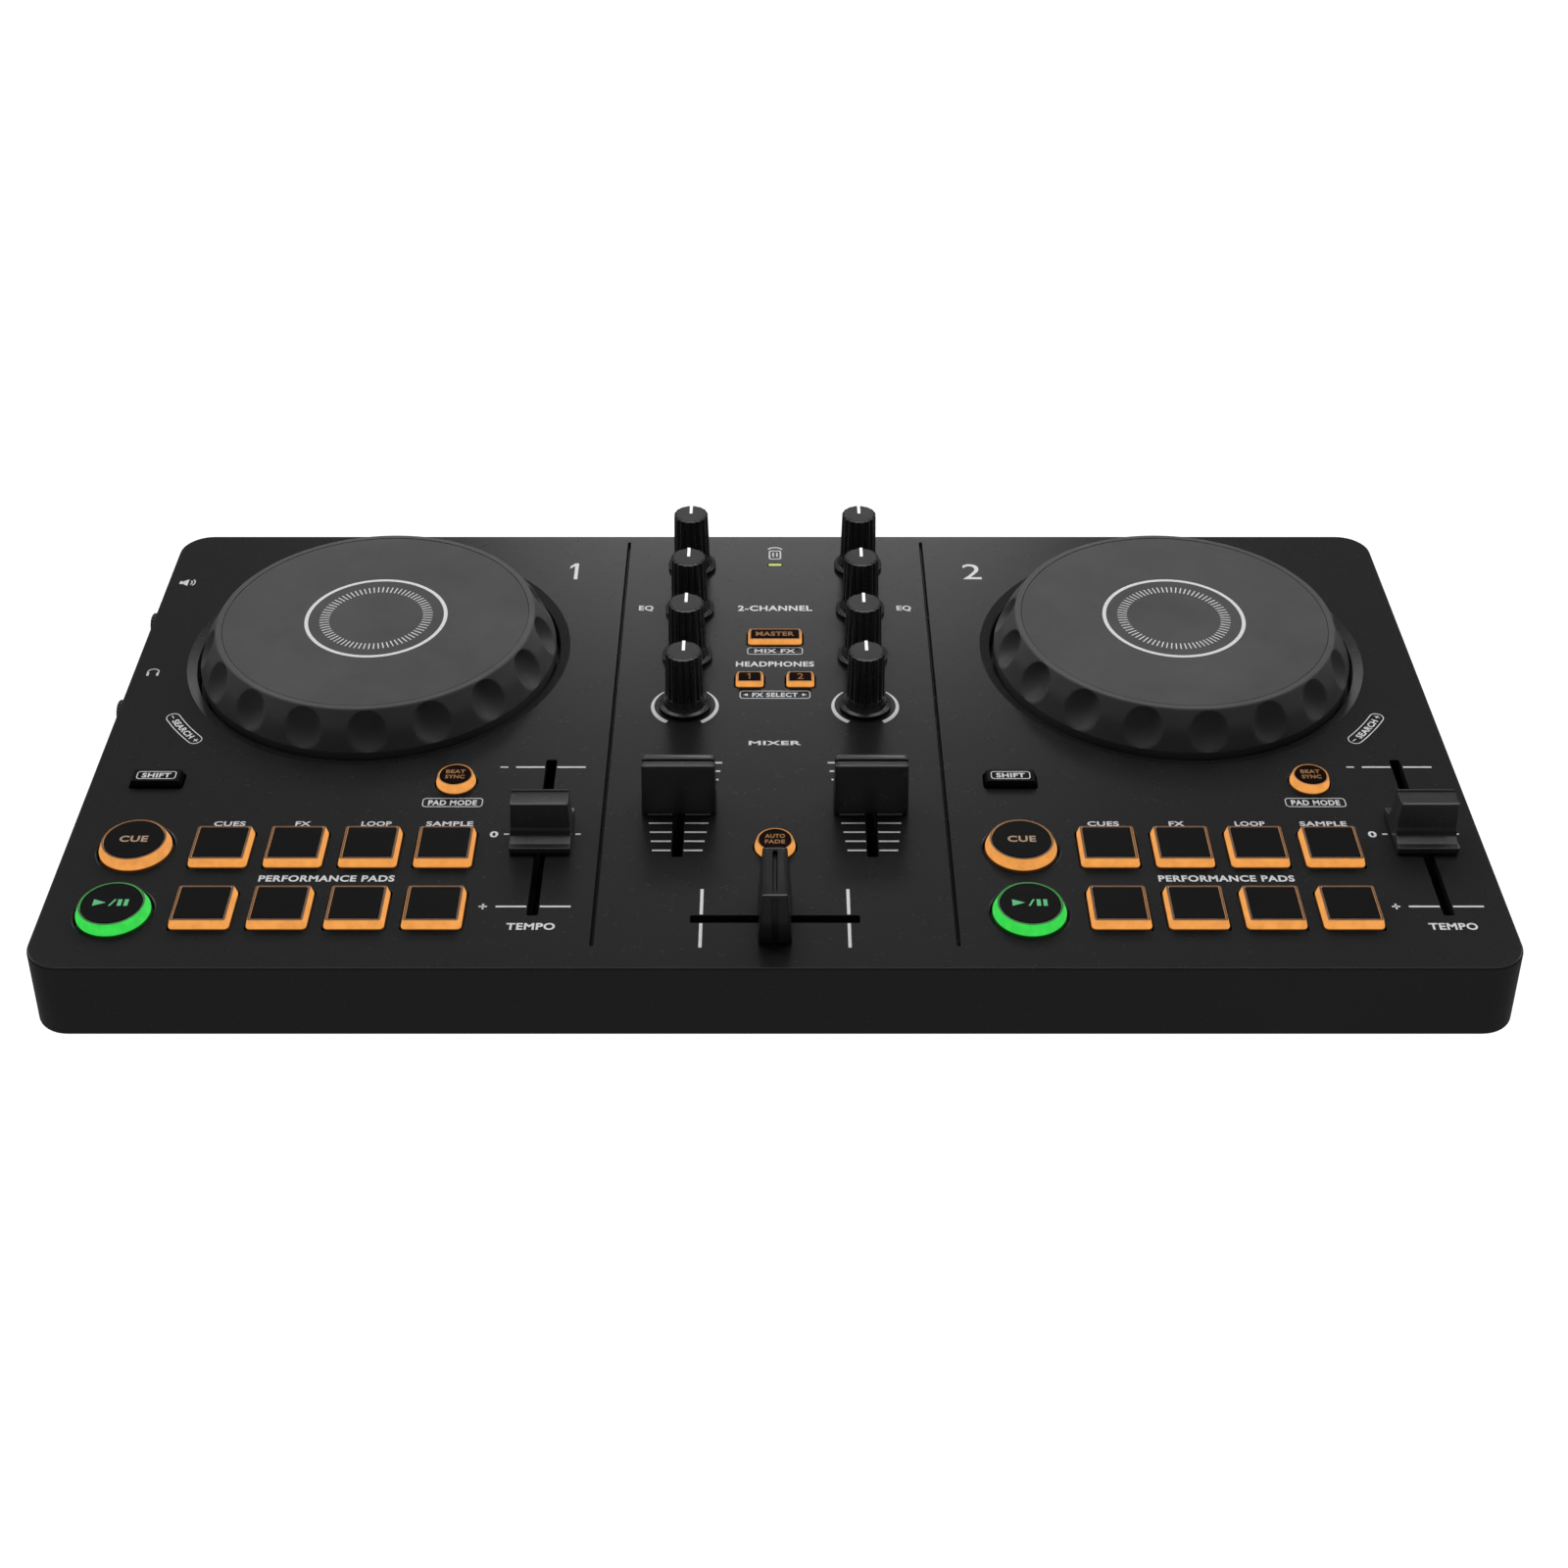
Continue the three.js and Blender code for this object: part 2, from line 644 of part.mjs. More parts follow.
function mixer() {
  const group = new THREE.Group();
  group.position.z = plateTop;
  const knobNames = ['filter', 'bass', 'treble', 'gain'];
  for (const side of sides) {
    const number = side < 0 ? 1 : 2;
    knobNames.forEach((name, i) => {
      const y = knobY + i * knobPitch;
      group.add(piece(`${name}_knob_${number}`, shape.knob, glossBlack, side * channelX, y));
    });
    group.add(
      piece(`channel_fader_${number}`, shape.blockCap, faderBlack,
        side * channelX, channelFaderY),
      piece(`headphone_key_${number}`, geometryOf(rectangleKey(phonesKeySize)), orangeLens,
        side * phonesKeyPlace[0], phonesKeyPlace[1]),
    );
  }
  group.add(
    piece('crossfader', geometryOf(blockCap(true)), faderBlack, 0, crossfaderY),
    piece('blend_key', shape.smallKey, orangeLens, 0, blendKeyY),
    piece('master_key', geometryOf(rectangleKey(masterKeySize)), orangeLens, 0, masterKeyY),
    piece('indicator_lens', geometryOf(indicatorLens()), lensYellow, 0, indicatorY),
  );
  return group;
}

function sockets() {
  const left = -caseWidth / 2;
  const socketNames = ['master', 'headphone'];
  return [
    ...socketNames.map((name, i) => piece(
      `${name}_jack`, shape.jack, panBlack, left, jackPlaces[i], jackHeight)),
    ...socketNames.map((name, i) => piece(
      `${name}_level_dial`, shape.levelDial, glossBlack, left, dialPlaces[i], dialHeight)),
    piece('usb_port', geometryOf(usbPort()), steel, 0, caseDepth / 2 - 8.2, usbHeight),
  ];
}

const footNames = ['front_left', 'front_right', 'rear_left', 'rear_right'];
const controller = new THREE.Group();
controller.position.x = dialProtrusion / 2;
controller.add(
  piece('top_case', geometryOf(topCase()), caseBlack),
  piece('bottom_case', geometryOf(bottomCase()), panBlack),
  piece('main_board', geometryOf(mainBoard()), boardGreen),
  ...footCentres().map(([x, y], i) => piece(`foot_${footNames[i]}`, shape.foot, rubberBlack, x, y)),
  deck(1),
  mixer(),
  deck(2),
  ...sockets(),
);

export default controller;
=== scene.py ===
# A two-deck DJ controller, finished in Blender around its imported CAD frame.
# Lengths are millimetres until a mesh is made; positions come from the frame's boxes.
import json
import math

import bmesh
import bpy
from mathutils import Matrix, Vector

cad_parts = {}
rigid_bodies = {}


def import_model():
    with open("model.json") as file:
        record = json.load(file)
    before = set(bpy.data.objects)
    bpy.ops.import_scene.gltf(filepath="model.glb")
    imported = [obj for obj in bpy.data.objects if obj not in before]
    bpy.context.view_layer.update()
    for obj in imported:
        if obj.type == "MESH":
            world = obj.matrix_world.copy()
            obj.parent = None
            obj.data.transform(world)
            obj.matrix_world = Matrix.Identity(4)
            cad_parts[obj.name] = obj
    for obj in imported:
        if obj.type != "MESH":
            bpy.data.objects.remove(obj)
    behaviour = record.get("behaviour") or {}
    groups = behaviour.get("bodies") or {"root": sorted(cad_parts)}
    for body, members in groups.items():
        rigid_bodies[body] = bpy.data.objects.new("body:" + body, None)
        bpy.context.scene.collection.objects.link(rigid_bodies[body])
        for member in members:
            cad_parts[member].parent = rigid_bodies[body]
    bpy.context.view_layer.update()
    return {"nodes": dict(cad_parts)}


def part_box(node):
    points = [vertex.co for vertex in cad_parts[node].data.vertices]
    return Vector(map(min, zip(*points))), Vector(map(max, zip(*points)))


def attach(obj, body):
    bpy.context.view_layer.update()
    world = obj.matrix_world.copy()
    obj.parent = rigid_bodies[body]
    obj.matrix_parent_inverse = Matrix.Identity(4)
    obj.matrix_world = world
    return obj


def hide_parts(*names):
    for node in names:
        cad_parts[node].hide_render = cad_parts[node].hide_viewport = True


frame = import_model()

MM = 0.001
HOUSING = "housing"
deck_numbers = (1, 2)

# ---- Driving values ----
plate_thickness = 2.5
wall_thickness = 3.2
wall_draft = 0.7  # the side and front walls lean in this much on their way up
case_corner = 9.5
groove_offset = 47  # each mixer groove, from the middle of the case
groove_length = 197
pan_thickness = 1.8
foot_radius = 8

# Jog wheels and their wells
jog_radius = 53.0
touch_radius = 45.4
well_radius = 54.2
well_lip_radius = 57.3
well_depth = 7
tub_radius = 59.3  # the well's own wall below the plate
dimple_count = 17
dimple_depth = 3.3
dimple_half_width = 5.6
dimple_half_height = 5.4
dimple_height = 6.3  # above the plate
dimple_turn = math.radians(4.2)  # from the front of the ring to its nearest dimple

# Keys: each has a flange hidden under the plate
flange_lip = 0.9
round_flange_lip = 1.2
flange_thickness = 1.2
flange_gap = 0.3  # between the flange and the plate
key_clearance = 0.4

# Knobs and faders; a travel is the way from the middle to one end
knob_flutes = 16
skirt_radius = 7.5
dial_ribs = 20
slot_width = 2.9
tempo_travel = 30
channel_travel = 19.6
crossfader_travel = 19.2
stem_half = (0.8, 2.4)

# Printing
print_height = 0.03
print_gap = 0.004  # under the ink, so that it shares no face with its ground
frame_line = 0.26
frame_corner = 1.1

# The camera: its distance and tilt give the plate the proportions of a desk-side view
camera_tilt = 37.34  # degrees below the horizon
camera_lens = 52.95
camera_ahead = 433.8  # in front of the front edge
camera_above = 390.24  # above the control plate
camera_shift = 0.00575

# Light
room_light = 0.12
overhead_power = 4.7
key_power = 16.6
rear_side_power = 4
glow_power = 1.7
paper_base = 0.04
paper_glow = 1.05


# ---- The frame's nodes ----
def centre(node):
    """The middle of a node's box."""
    low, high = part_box(node)
    return (low + high) / (2 * MM)


def extent(node):
    """The size of a node's box."""
    low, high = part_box(node)
    return (high - low) / MM


def levels(node):
    """The heights of a node's foot and top."""
    return [corner.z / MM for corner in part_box(node)]


case_centre = centre("top_case")
case_size = extent("top_case")
front_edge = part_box("top_case")[0].y / MM
wall_bottom, plate_top = levels("top_case")
flange_top = plate_top - plate_thickness - flange_gap
flange_foot = flange_top - flange_thickness
feet = [f"foot_{end}_{side}" for end in ("front", "rear") for side in ("left", "right")]
knobs = [f"{name}_knob_{i}" for name in ("filter", "bass", "treble", "gain") for i in deck_numbers]


def pads(number):
    return [f"pad_{number}_{i}" for i in range(1, 9)]


# ---- Outlines: functions from an outward offset to a ring of (x, y) points ----
def circle(radius, count):
    def ring(offset):
        turns = (2 * math.pi * i / count for i in range(count))
        return [((radius + offset) * math.cos(a), (radius + offset) * math.sin(a)) for a in turns]
    return ring


def rectangle(width, depth, corner, steps=6):
    def ring(offset):
        radius = max(corner + offset, 0.02)
        x, y = width / 2 + offset - radius, depth / 2 + offset - radius
        points = []
        for quarter, (sx, sy) in enumerate(((1, 1), (-1, 1), (-1, -1), (1, -1))):
            for i in range(steps + 1):
                a = math.pi / 2 * (quarter + i / steps)
                points.append((sx * x + radius * math.cos(a), sy * y + radius * math.sin(a)))
        return points
    return ring


def ribbed(radius, count, ribs, depth, sharpness):
    """A circle's points with rounded ribs and narrow valleys."""
    points = []
    for i in range(count):
        a = 2 * math.pi * i / count
        r = radius - depth * (1 - abs(math.sin(ribs * a / 2)) ** sharpness)
        points.append((r * math.cos(a), r * math.sin(a)))
    return points


def around_x(place, x, ring):
    """A ring turned to stand around a line that runs across the case."""
    return [(x, place.y + u, place.z + v) for u, v in ring]


def facing_rear(place, y, ring):
    """A ring turned to face the rear."""
    return [(place.x - u, y, place.z + v) for u, v in ring]


# ---- Profiles: rows of (offset, height), or (offset, height, fillet) before rounding ----
def rounded(profile, steps=4):
    """The profile with each fillet turned into an arc."""
    points = []
    for i, (r, z, fillet) in enumerate(profile):
        here = Vector((r, z))
        if not fillet or i in (0, len(profile) - 1):
            points.append((r, z))
            continue
        before = Vector(profile[i - 1][:2]) - here
        after = Vector(profile[i + 1][:2]) - here
        half = before.angle(after) / 2
        reach = min(fillet / math.tan(half), before.length * 0.49, after.length * 0.49)
        radius = reach * math.tan(half)
        middle = here + (before.normalized() + after.normalized()).normalized() * radius / math.sin(half)
        start = here + before.normalized() * reach - middle
        end = here + after.normalized() * reach - middle
        turn = start.angle_signed(end)
        for k in range(steps + 1):
            arm = start.copy()
            arm.rotate(Matrix.Rotation(-turn * k / steps, 2))
            points.append(tuple(middle + arm))
    return points


def slab(inner, edge, low, high, fillet, steps=3):
    """A flat cap's profile, its upper edge rounded."""
    return rounded([(inner, low, 0), (edge, low, 0), (edge, high, fillet), (inner, high, 0)], steps)


def subdivided(profile, step):
    """The same profile with no stretch longer than step."""
    points = [profile[0]]
    for (r0, z0), (r1, z1) in zip(profile, profile[1:]):
        parts = max(1, math.ceil(math.hypot(r1 - r0, z1 - z0) / step))
        points += [(r0 + (r1 - r0) * k / parts, z0 + (z1 - z0) * k / parts) for k in range(1, parts + 1)]
    return points


# ---- Mesh making ----
def loft_into(bm, rings, shift=(0, 0, 0), close=False):
    """Joins rings of (x, y, z) points into one body, capped at both ends unless it closes on itself."""
    loops = [[bm.verts.new(Vector(p) + Vector(shift)) for p in ring] for ring in rings]
    followers = loops[1:] + loops[:1] if close else loops[1:]
    for low, high in zip(loops, followers):
        for i in range(len(low)):
            j = (i + 1) % len(low)
            bm.faces.new((low[i], low[j], high[j], high[i]))
    if not close:
        bm.faces.new(list(reversed(loops[0])))
        bm.faces.new(loops[-1])


def lofted(rings, shift=(0, 0, 0), close=False):
    bm = bmesh.new()
    loft_into(bm, rings, shift, close)
    return bm


def swept_into(bm, outline, profile, place=Vector((0, 0))):
    """The body that an outline sweeps along a profile, at a place's x and y."""
    rings = [[(x, y, z) for x, y in outline(offset)] for offset, z in profile]
    loft_into(bm, rings, (place.x, place.y, 0))


def box_into(bm, low, high):
    x0, y0, z0 = low
    x1, y1, z1 = high
    corners = [(x0, y0), (x1, y0), (x1, y1), (x0, y1)]
    loft_into(bm, [[(x, y, z) for x, y in corners] for z in (z0, z1)])


def finish_mesh(name, bm, smooth_angle=32):
    """Closes the bmesh, scales it to metres and marks its creases."""
    bmesh.ops.remove_doubles(bm, verts=bm.verts, dist=1e-5)
    bmesh.ops.recalc_face_normals(bm, faces=bm.faces)
    bmesh.ops.scale(bm, vec=(MM, MM, MM), verts=bm.verts)
    for face in bm.faces:
        face.smooth = True
    limit = math.radians(smooth_angle)
    for edge in bm.edges:
        edge.smooth = len(edge.link_faces) == 2 and edge.calc_face_angle(0) < limit
    mesh = bpy.data.meshes.new(name)
    bm.to_mesh(mesh)
    bm.free()
    return mesh


def linked(name, data):
    """A new object, put into the scene."""
    thing = bpy.data.objects.new(name, data)
    bpy.context.scene.collection.objects.link(thing)
    return thing


def piece(name, bm, look, body, smooth_angle=32, replaces=(), weighted=True):
    """One finished piece of the object, riding on its body."""
    thing = linked(name, finish_mesh(name, bm, smooth_angle))
    thing.data.materials.append(look)
    if weighted:
        flat = thing.modifiers.new("flat_faces", "WEIGHTED_NORMAL")
        flat.keep_sharp = True
        flat.weight = 90
    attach(thing, body)
    if replaces:
        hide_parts(*replaces)


def swept_piece(name, outline, profile, place, look, body, replaces=()):
    """A piece that is one sweep."""
    bm = bmesh.new()
    swept_into(bm, outline, profile, place)
    piece(name, bm, look, body, replaces=replaces)


def boolean(first, second, operation):
    """The mesh of first combined with second; both bmeshes are used up."""
    pair = []
    for label, bm in (("first", first), ("second", second)):
        bmesh.ops.remove_doubles(bm, verts=bm.verts, dist=1e-5)
        bmesh.ops.recalc_face_normals(bm, faces=bm.faces)
        mesh = bpy.data.meshes.new(label)
        bm.to_mesh(mesh)
        bm.free()
        pair.append(linked(label, mesh))
    joined = pair[0].modifiers.new("boolean", "BOOLEAN")
    joined.object = pair[1]
    joined.operation = operation
    joined.solver = "MANIFOLD"
    graph = bpy.context.evaluated_depsgraph_get()
    result = bmesh.new()
    result.from_mesh(pair[0].evaluated_get(graph).to_mesh())
    for thing in pair:
        bpy.data.objects.remove(thing)
    return result


# ---- Materials ----
def new_look(name):
    """A material with its node tree and its shader."""
    look = bpy.data.materials.new(name)
    look.use_nodes = True
    tree = look.node_tree
    return look, tree, tree.nodes["Principled BSDF"]


def set_inputs(node, **inputs):
    for key, value in inputs.items():
        node.inputs[key.replace("_", " ")].default_value = value


def add_node(tree, kind, **inputs):
    node = tree.nodes.new(kind)
    set_inputs(node, **inputs)
    return node


def noise(tree, scale, detail=3.0, roughness=0.55):
    """The value of a noise that stays put on its piece."""
    where = tree.nodes.new("ShaderNodeTexCoord")
    node = add_node(tree, "ShaderNodeTexNoise", Scale=scale, Detail=detail, Roughness=roughness)
    tree.links.new(where.outputs["Object"], node.inputs["Vector"])
    return node.outputs["Fac"]


def upright_part(tree, kind, output):
    """The Z of a vector that a new node of this kind gives."""
    split = tree.nodes.new("ShaderNodeSeparateXYZ")
    tree.links.new(tree.nodes.new(kind).outputs[output], split.inputs["Vector"])
    return split.outputs["Z"]


def ranged(tree, source, low, high, start=0.3, stop=0.7):
    """A value's range start to stop mapped to the range low to high."""
    node = add_node(tree, "ShaderNodeMapRange", From_Min=start, From_Max=stop, To_Min=low, To_Max=high)
    tree.links.new(source, node.inputs["Value"])
    return node.outputs["Result"]


def multiplied(tree, first, second):
    node = tree.nodes.new("ShaderNodeMath")
    node.operation = "MULTIPLY"
    tree.links.new(first, node.inputs[0])
    tree.links.new(second, node.inputs[1])
    return node.outputs["Value"]


def bumped(tree, shader, source, strength, distance):
    """Raises the surface a little by a noise."""
    bump = add_node(tree, "ShaderNodeBump", Strength=strength, Distance=distance)
    tree.links.new(source, bump.inputs["Height"])
    tree.links.new(bump.outputs["Normal"], shader.inputs["Normal"])


def tinted(tree, shader, source, dark, light):
    """A base colour that drifts between two colours."""
    mix = tree.nodes.new("ShaderNodeMix")
    mix.data_type = "RGBA"
    mix.inputs[6].default_value = dark
    mix.inputs[7].default_value = light
    tree.links.new(ranged(tree, source, 0, 1), mix.inputs[0])
    tree.links.new(mix.outputs[2], shader.inputs["Base Color"])


def grey(level):
    return (level, level, level * 1.02, 1)


def plastic(name, colour, roughness, grain, specular, grain_scale=5200, spread=0.06, mottle=0.12):
    """Moulded plastic: a fine sparked grain, slow colour mottling and handling marks in its gloss."""
    look, tree, shader = new_look(name)
    bumped(tree, shader, noise(tree, grain_scale, 2.0), grain, 0.00006)
    dark, light = ([c * share for c in colour[:3]] + [1] for share in (1 - mottle, 1 + mottle))
    tinted(tree, shader, noise(tree, 38, 4.0, 0.6), dark, light)
    gloss = ranged(tree, noise(tree, 210, 5.0, 0.65), roughness - spread, roughness + spread)
    tree.links.new(gloss, shader.inputs["Roughness"])
    set_inputs(shader, Specular_IOR_Level=specular)
    return look


def lit_lens(name, glow, body_colour, side_strength, top_strength):
    """A translucent moulding lit from inside, its sides and its upward faces each by their strength; the
    weaker glow on upward faces and the fade to dark below the plate edge are painted shade.
    """
    look, tree, shader = new_look(name)
    upward = upright_part(tree, "ShaderNodeNewGeometry", "Normal")
    # painted shade: the glow is turned down on upward faces
    glow_with_painted_top_shade = ranged(tree, upward, side_strength, top_strength, 0.35, 0.95)
    height = upright_part(tree, "ShaderNodeTexCoord", "Object")
    # painted shade: the glow fades to near dark below the plate, in the gap under its edge
    painted_shade_below_plate = ranged(tree, height, 0.02, 1, plate_top * MM, (plate_top + 0.45) * MM)
    vary = ranged(tree, noise(tree, 420), 0.88, 1.12)
    power = multiplied(tree, multiplied(tree, glow_with_painted_top_shade, vary), painted_shade_below_plate)
    tree.links.new(power, shader.inputs["Emission Strength"])
    set_inputs(shader, Emission_Color=glow, Base_Color=body_colour, Roughness=0.38,
               Subsurface_Weight=0.2, Subsurface_Radius=(0.002, 0.001, 0.0005))
    bumped(tree, shader, noise(tree, 3800, 2.0), 0.1, 0.00004)
    look.cycles.emission_sampling = "NONE"
    return look


def metal(name, colour, roughness):
    """Plated steel with faint marks in its gloss."""
    look, tree, shader = new_look(name)
    marks = noise(tree, 900, 4.0)
    set_inputs(shader, Metallic=1, Base_Color=colour)
    gloss = ranged(tree, marks, roughness - 0.1, roughness + 0.12)
    tree.links.new(gloss, shader.inputs["Roughness"])
    bumped(tree, shader, marks, 0.08, 0.00003)
    return look


def ink(name, level, glow=0.0, tone=grey(1)):
    """Screen-printed ink: slightly uneven, matte. With a glow it is lit from behind, as on the lit keys; the
    glow of the white knob-pointer ink is painted light.
    """
    look, tree, shader = new_look(name)
    tinted(tree, shader, noise(tree, 1500), grey(level * 0.86), grey(level))
    set_inputs(shader, Roughness=0.6, Emission_Color=tone, Emission_Strength=glow)
    if glow:
        look.cycles.emission_sampling = "NONE"
    return look


case_black = plastic("case_black", grey(0.0155), 0.27, 0.03, 0.25, spread=0.006, mottle=0.02)
pan_black = plastic("pan_black", grey(0.014), 0.7, 0.4, 0.1)
jog_grey = plastic("jog_grey", grey(0.085), 0.62, 0.22, 0.1)
ring_grey = plastic("ring_grey", grey(0.083), 0.5, 0.15, 0.2)
knob_black = plastic("knob_black", grey(0.024), 0.26, 0.05, 0.6, spread=0.03)
knob_grey = plastic("knob_grey", grey(0.05), 0.6, 0.2, 0.2)
fader_black = plastic("fader_black", grey(0.038), 0.25, 0.05, 0.55, spread=0.03)
cross_black = plastic("cross_black", grey(0.009), 0.22, 0.05, 0.7, spread=0.03)
key_black = plastic("key_black", grey(0.0035), 0.45, 0.15, 0.1)
key_brown = plastic("key_brown", (0.006, 0.0014, 0.0002, 1), 0.5, 0.1, 0.04)
rubber_black = plastic("rubber_black", grey(0.014), 0.85, 0.6, 0.2, 2600)
board_green = plastic("board_green", (0.004, 0.011, 0.007, 1), 0.6, 0.1, 0.1)
plated_steel = metal("plated_steel", (0.62, 0.62, 0.64, 1), 0.3)
amber_light, amber_body = (1.0, 0.4, 0.085, 1), (0.12, 0.075, 0.05, 1)
# Where the last number is the smaller, the upward faces glow less than the sides: painted shade.
amber = lit_lens("amber_lens", amber_light, amber_body, 0.84, 0.03)
amber_small = lit_lens("amber_key_lens", amber_light, amber_body, 0.84, 0.3)
green = lit_lens("green_lens", (0.05, 1.0, 0.1, 1), (0.05, 0.11, 0.06, 1), 0.7, 0.03)
yellow = lit_lens("yellow_lens", (0.75, 0.9, 0.3, 1), (0.3, 0.36, 0.06, 1), 2.4, 2.4)
ink_grey = ink("ink_grey", 0.78)
# painted light: the white pointer ink glows though nothing lights it
ink_white_painted_glow = ink("ink_white_painted_glow", 0.85, 0.3)
ink_soft = ink("ink_soft", 0.68)
ink_green = ink("ink_green", 0.05, 0.5, (0.12, 0.8, 0.3, 1))
ink_amber = ink("ink_amber", 0.015, 0.34, (0.75, 0.33, 0.1, 1))
ink_warm = ink("ink_warm", 0.03, 0.42, (0.75, 0.5, 0.32, 1))


# ---- Case ----
def mouth(fillet, steps=4):
    """A cutter's profile: straight through the plate, then flaring over its rounded edge."""
    points = [(0, plate_top - plate_thickness - 1)]
    for i in range(steps + 1):
        a = math.pi / 2 * i / steps
        points.append((fillet * (1 - math.cos(a)), plate_top - fillet * (1 - math.sin(a))))
    points.append((fillet, plate_top + 2))
    return points


def plate_cutters():
    """Every opening of the control plate as one set of separate bodies."""
    bm = bmesh.new()

    def opening(node, outline, fillet):
        swept_into(bm, outline, mouth(fillet), centre(node))

    rectangular = ["shift_key_1", "shift_key_2", "master_key", "headphone_key_1", "headphone_key_2"]
    room = 2 * (key_clearance - flange_lip)
    for node in rectangular + pads(1) + pads(2):
        size = extent(node)
        opening(node, rectangle(size.x + room, size.y + room, 0.9), 0.22)
    large = ["cue_key_1", "cue_key_2", "play_key_1", "play_key_2"]
    small = ["sync_key_1", "sync_key_2", "blend_key"]
    for nodes, count, fillet in ((large, 80, 0.9), (small, 56, 0.3)):
        for node in nodes:
            radius = extent(node).x / 2 - round_flange_lip + key_clearance
            opening(node, circle(radius, count), fillet)
    slots = {"tempo_fader": 2 * tempo_travel + 7.4, "channel_fader": 2 * channel_travel + 5.4}
    for name, length in slots.items():
        for number in deck_numbers:
            opening(f"{name}_{number}", rectangle(slot_width, length, 0.5), 0.2)
    opening("crossfader", rectangle(2 * crossfader_travel + 5.6, slot_width, 0.5), 0.2)
    for node in knobs:
        opening(node, circle(3.7, 32), 0.2)
    opening("indicator_lens", rectangle(4.5, 1.6, 0.3), 0.1)
    groove = [(-0.4, plate_top - 1.4), (0, plate_top - 0.15), (0.1, plate_top), (0.1, plate_top + 2)]
    for side in (-1, 1):
        place = Vector((case_centre.x + side * groove_offset, 2.75))
        swept_into(bm, rectangle(0.9, groove_length, 0.4, 3), groove, place)
    return bm


def well_profile():
    """The jog well: a rounded lip, a shallow slope, then a straight drop to the floor."""
    floor = plate_top - well_depth
    lip = [(well_lip_radius + 1, plate_top + 2, 0), (well_lip_radius, plate_top, 0.4),
           (well_radius, plate_top - 0.8, 0.3), (well_radius, floor, 0.6), (40, floor, 0)]
    return [(0.01, floor), *reversed(rounded(lip)), (0.01, plate_top + 2)]


def wall_cutters():
    """The openings of the left wall and of the rear wall."""
    bm = bmesh.new()
    left, rear = case_centre.x - case_size.x / 2, case_centre.y + case_size.y / 2
    holes = {"master_level_dial": 4.7, "headphone_level_dial": 4.7, "master_jack": 3.4, "headphone_jack": 3.4}
    for node, radius in holes.items():
        place = centre(node)
        wall = left + lean(place.z)
        flares = ((-1, 0.35), (0, 0.35), (0.12, 0.12), (0.4, 0), (3.6, 0))
        loft_into(bm, [around_x(place, wall + depth, circle(radius, 40)(flare)) for depth, flare in flares])
    flares = ((1, 0.3), (0, 0.3), (-0.12, 0.1), (-0.4, 0), (-4, 0))
    port, place = rectangle(9.6, 3.9, 1.9), centre("usb_port")
    loft_into(bm, [facing_rear(place, rear + depth, port(flare)) for depth, flare in flares])
    return bm


def lean(height):
    """How far a drafted wall has moved inwards at this height."""
    return wall_draft * (height - wall_bottom) / (plate_top - wall_bottom)


def top_case():
    """A drafted block, hollowed from below, with its wells and openings."""
    bm, hollow, tubs, wells = (bmesh.new() for _ in range(4))
    edges = rounded([(-4, wall_bottom, 0), (0, wall_bottom, 0.4), (0, plate_top, 0.6), (-4, plate_top, 0)])
    swept_into(bm, rectangle(case_size.x, case_size.y, case_corner, 10), edges, case_centre)
    for vertex in bm.verts:
        vertex.co.x -= lean(vertex.co.z) * (vertex.co.x - case_centre.x) / (case_size.x / 2)
        vertex.co.y += lean(vertex.co.z) * (0.5 - vertex.co.y / case_size.y)
    width, depth = case_size.x - 2 * wall_thickness, case_size.y - 2 * wall_thickness
    inside = rectangle(width, depth, case_corner - wall_thickness)
    swept_into(hollow, inside, [(0, wall_bottom - 1), (0, plate_top - plate_thickness)], case_centre)
    for number in deck_numbers:
        place = centre(f"jog_ring_{number}")
        swept_into(tubs, circle(tub_radius, 96), [(0, plate_top - 9), (0, plate_top - 1)], place)
        swept_into(wells, circle(0, 144), well_profile(), place)
    bm = boolean(bm, hollow, "DIFFERENCE")
    bm = boolean(bm, tubs, "UNION")
    for cutter in (wells, plate_cutters(), wall_cutters()):
        bm = boolean(bm, cutter, "DIFFERENCE")
    piece("top_case_shell", bm, case_black, HOUSING, replaces=["top_case"])


def screw_places():
    places = []
    for x, y in ((181, 95), (56, 95)):
        for sx in (-1, 1):
            places += [Vector((case_centre.x + sx * x, sy * y)) for sy in (-1, 1)]
    return places


def bottom_case():
    """The pan, with seats for its feet and screws and two rows of vents."""
    floor, rim = levels("bottom_case")
    size = extent("bottom_case")
    bm, cuts = bmesh.new(), bmesh.new()
    edges = rounded([(-4, floor, 0), (-1, floor, 0.3), (0, floor + 1, 0.3), (0, rim, 0),
                     (-pan_thickness, rim, 0)])
    swept_into(bm, rectangle(size.x, size.y, 6, 8), edges, case_centre)
    inside = rectangle(size.x - 2 * pan_thickness, size.y - 2 * pan_thickness, 4.2, 8)
    swept_into(cuts, inside, [(0, floor + 2.2), (0, rim + 1)], case_centre)

    def pocket(outline, depth, place):
        swept_into(cuts, outline, [(0, floor - 1), (0, floor + depth)], place)

    for node in feet:
        pocket(circle(foot_radius + 0.4, 48), 0.9, centre(node))
    for place in screw_places():
        pocket(circle(3.1, 32), 1.2, place)
    for row in range(6):
        for side in (-1, 1):
            pocket(rectangle(34, 2.2, 1.05, 4), 0.8, Vector((case_centre.x + side * 96, (row - 2.5) * 7)))
    bm = boolean(bm, cuts, "DIFFERENCE")
    piece("bottom_case_pan", bm, pan_black, HOUSING, replaces=["bottom_case"])
    for i, place in enumerate(screw_places()):
        screw(f"case_screw_{i + 1}", place, floor + 1.15)


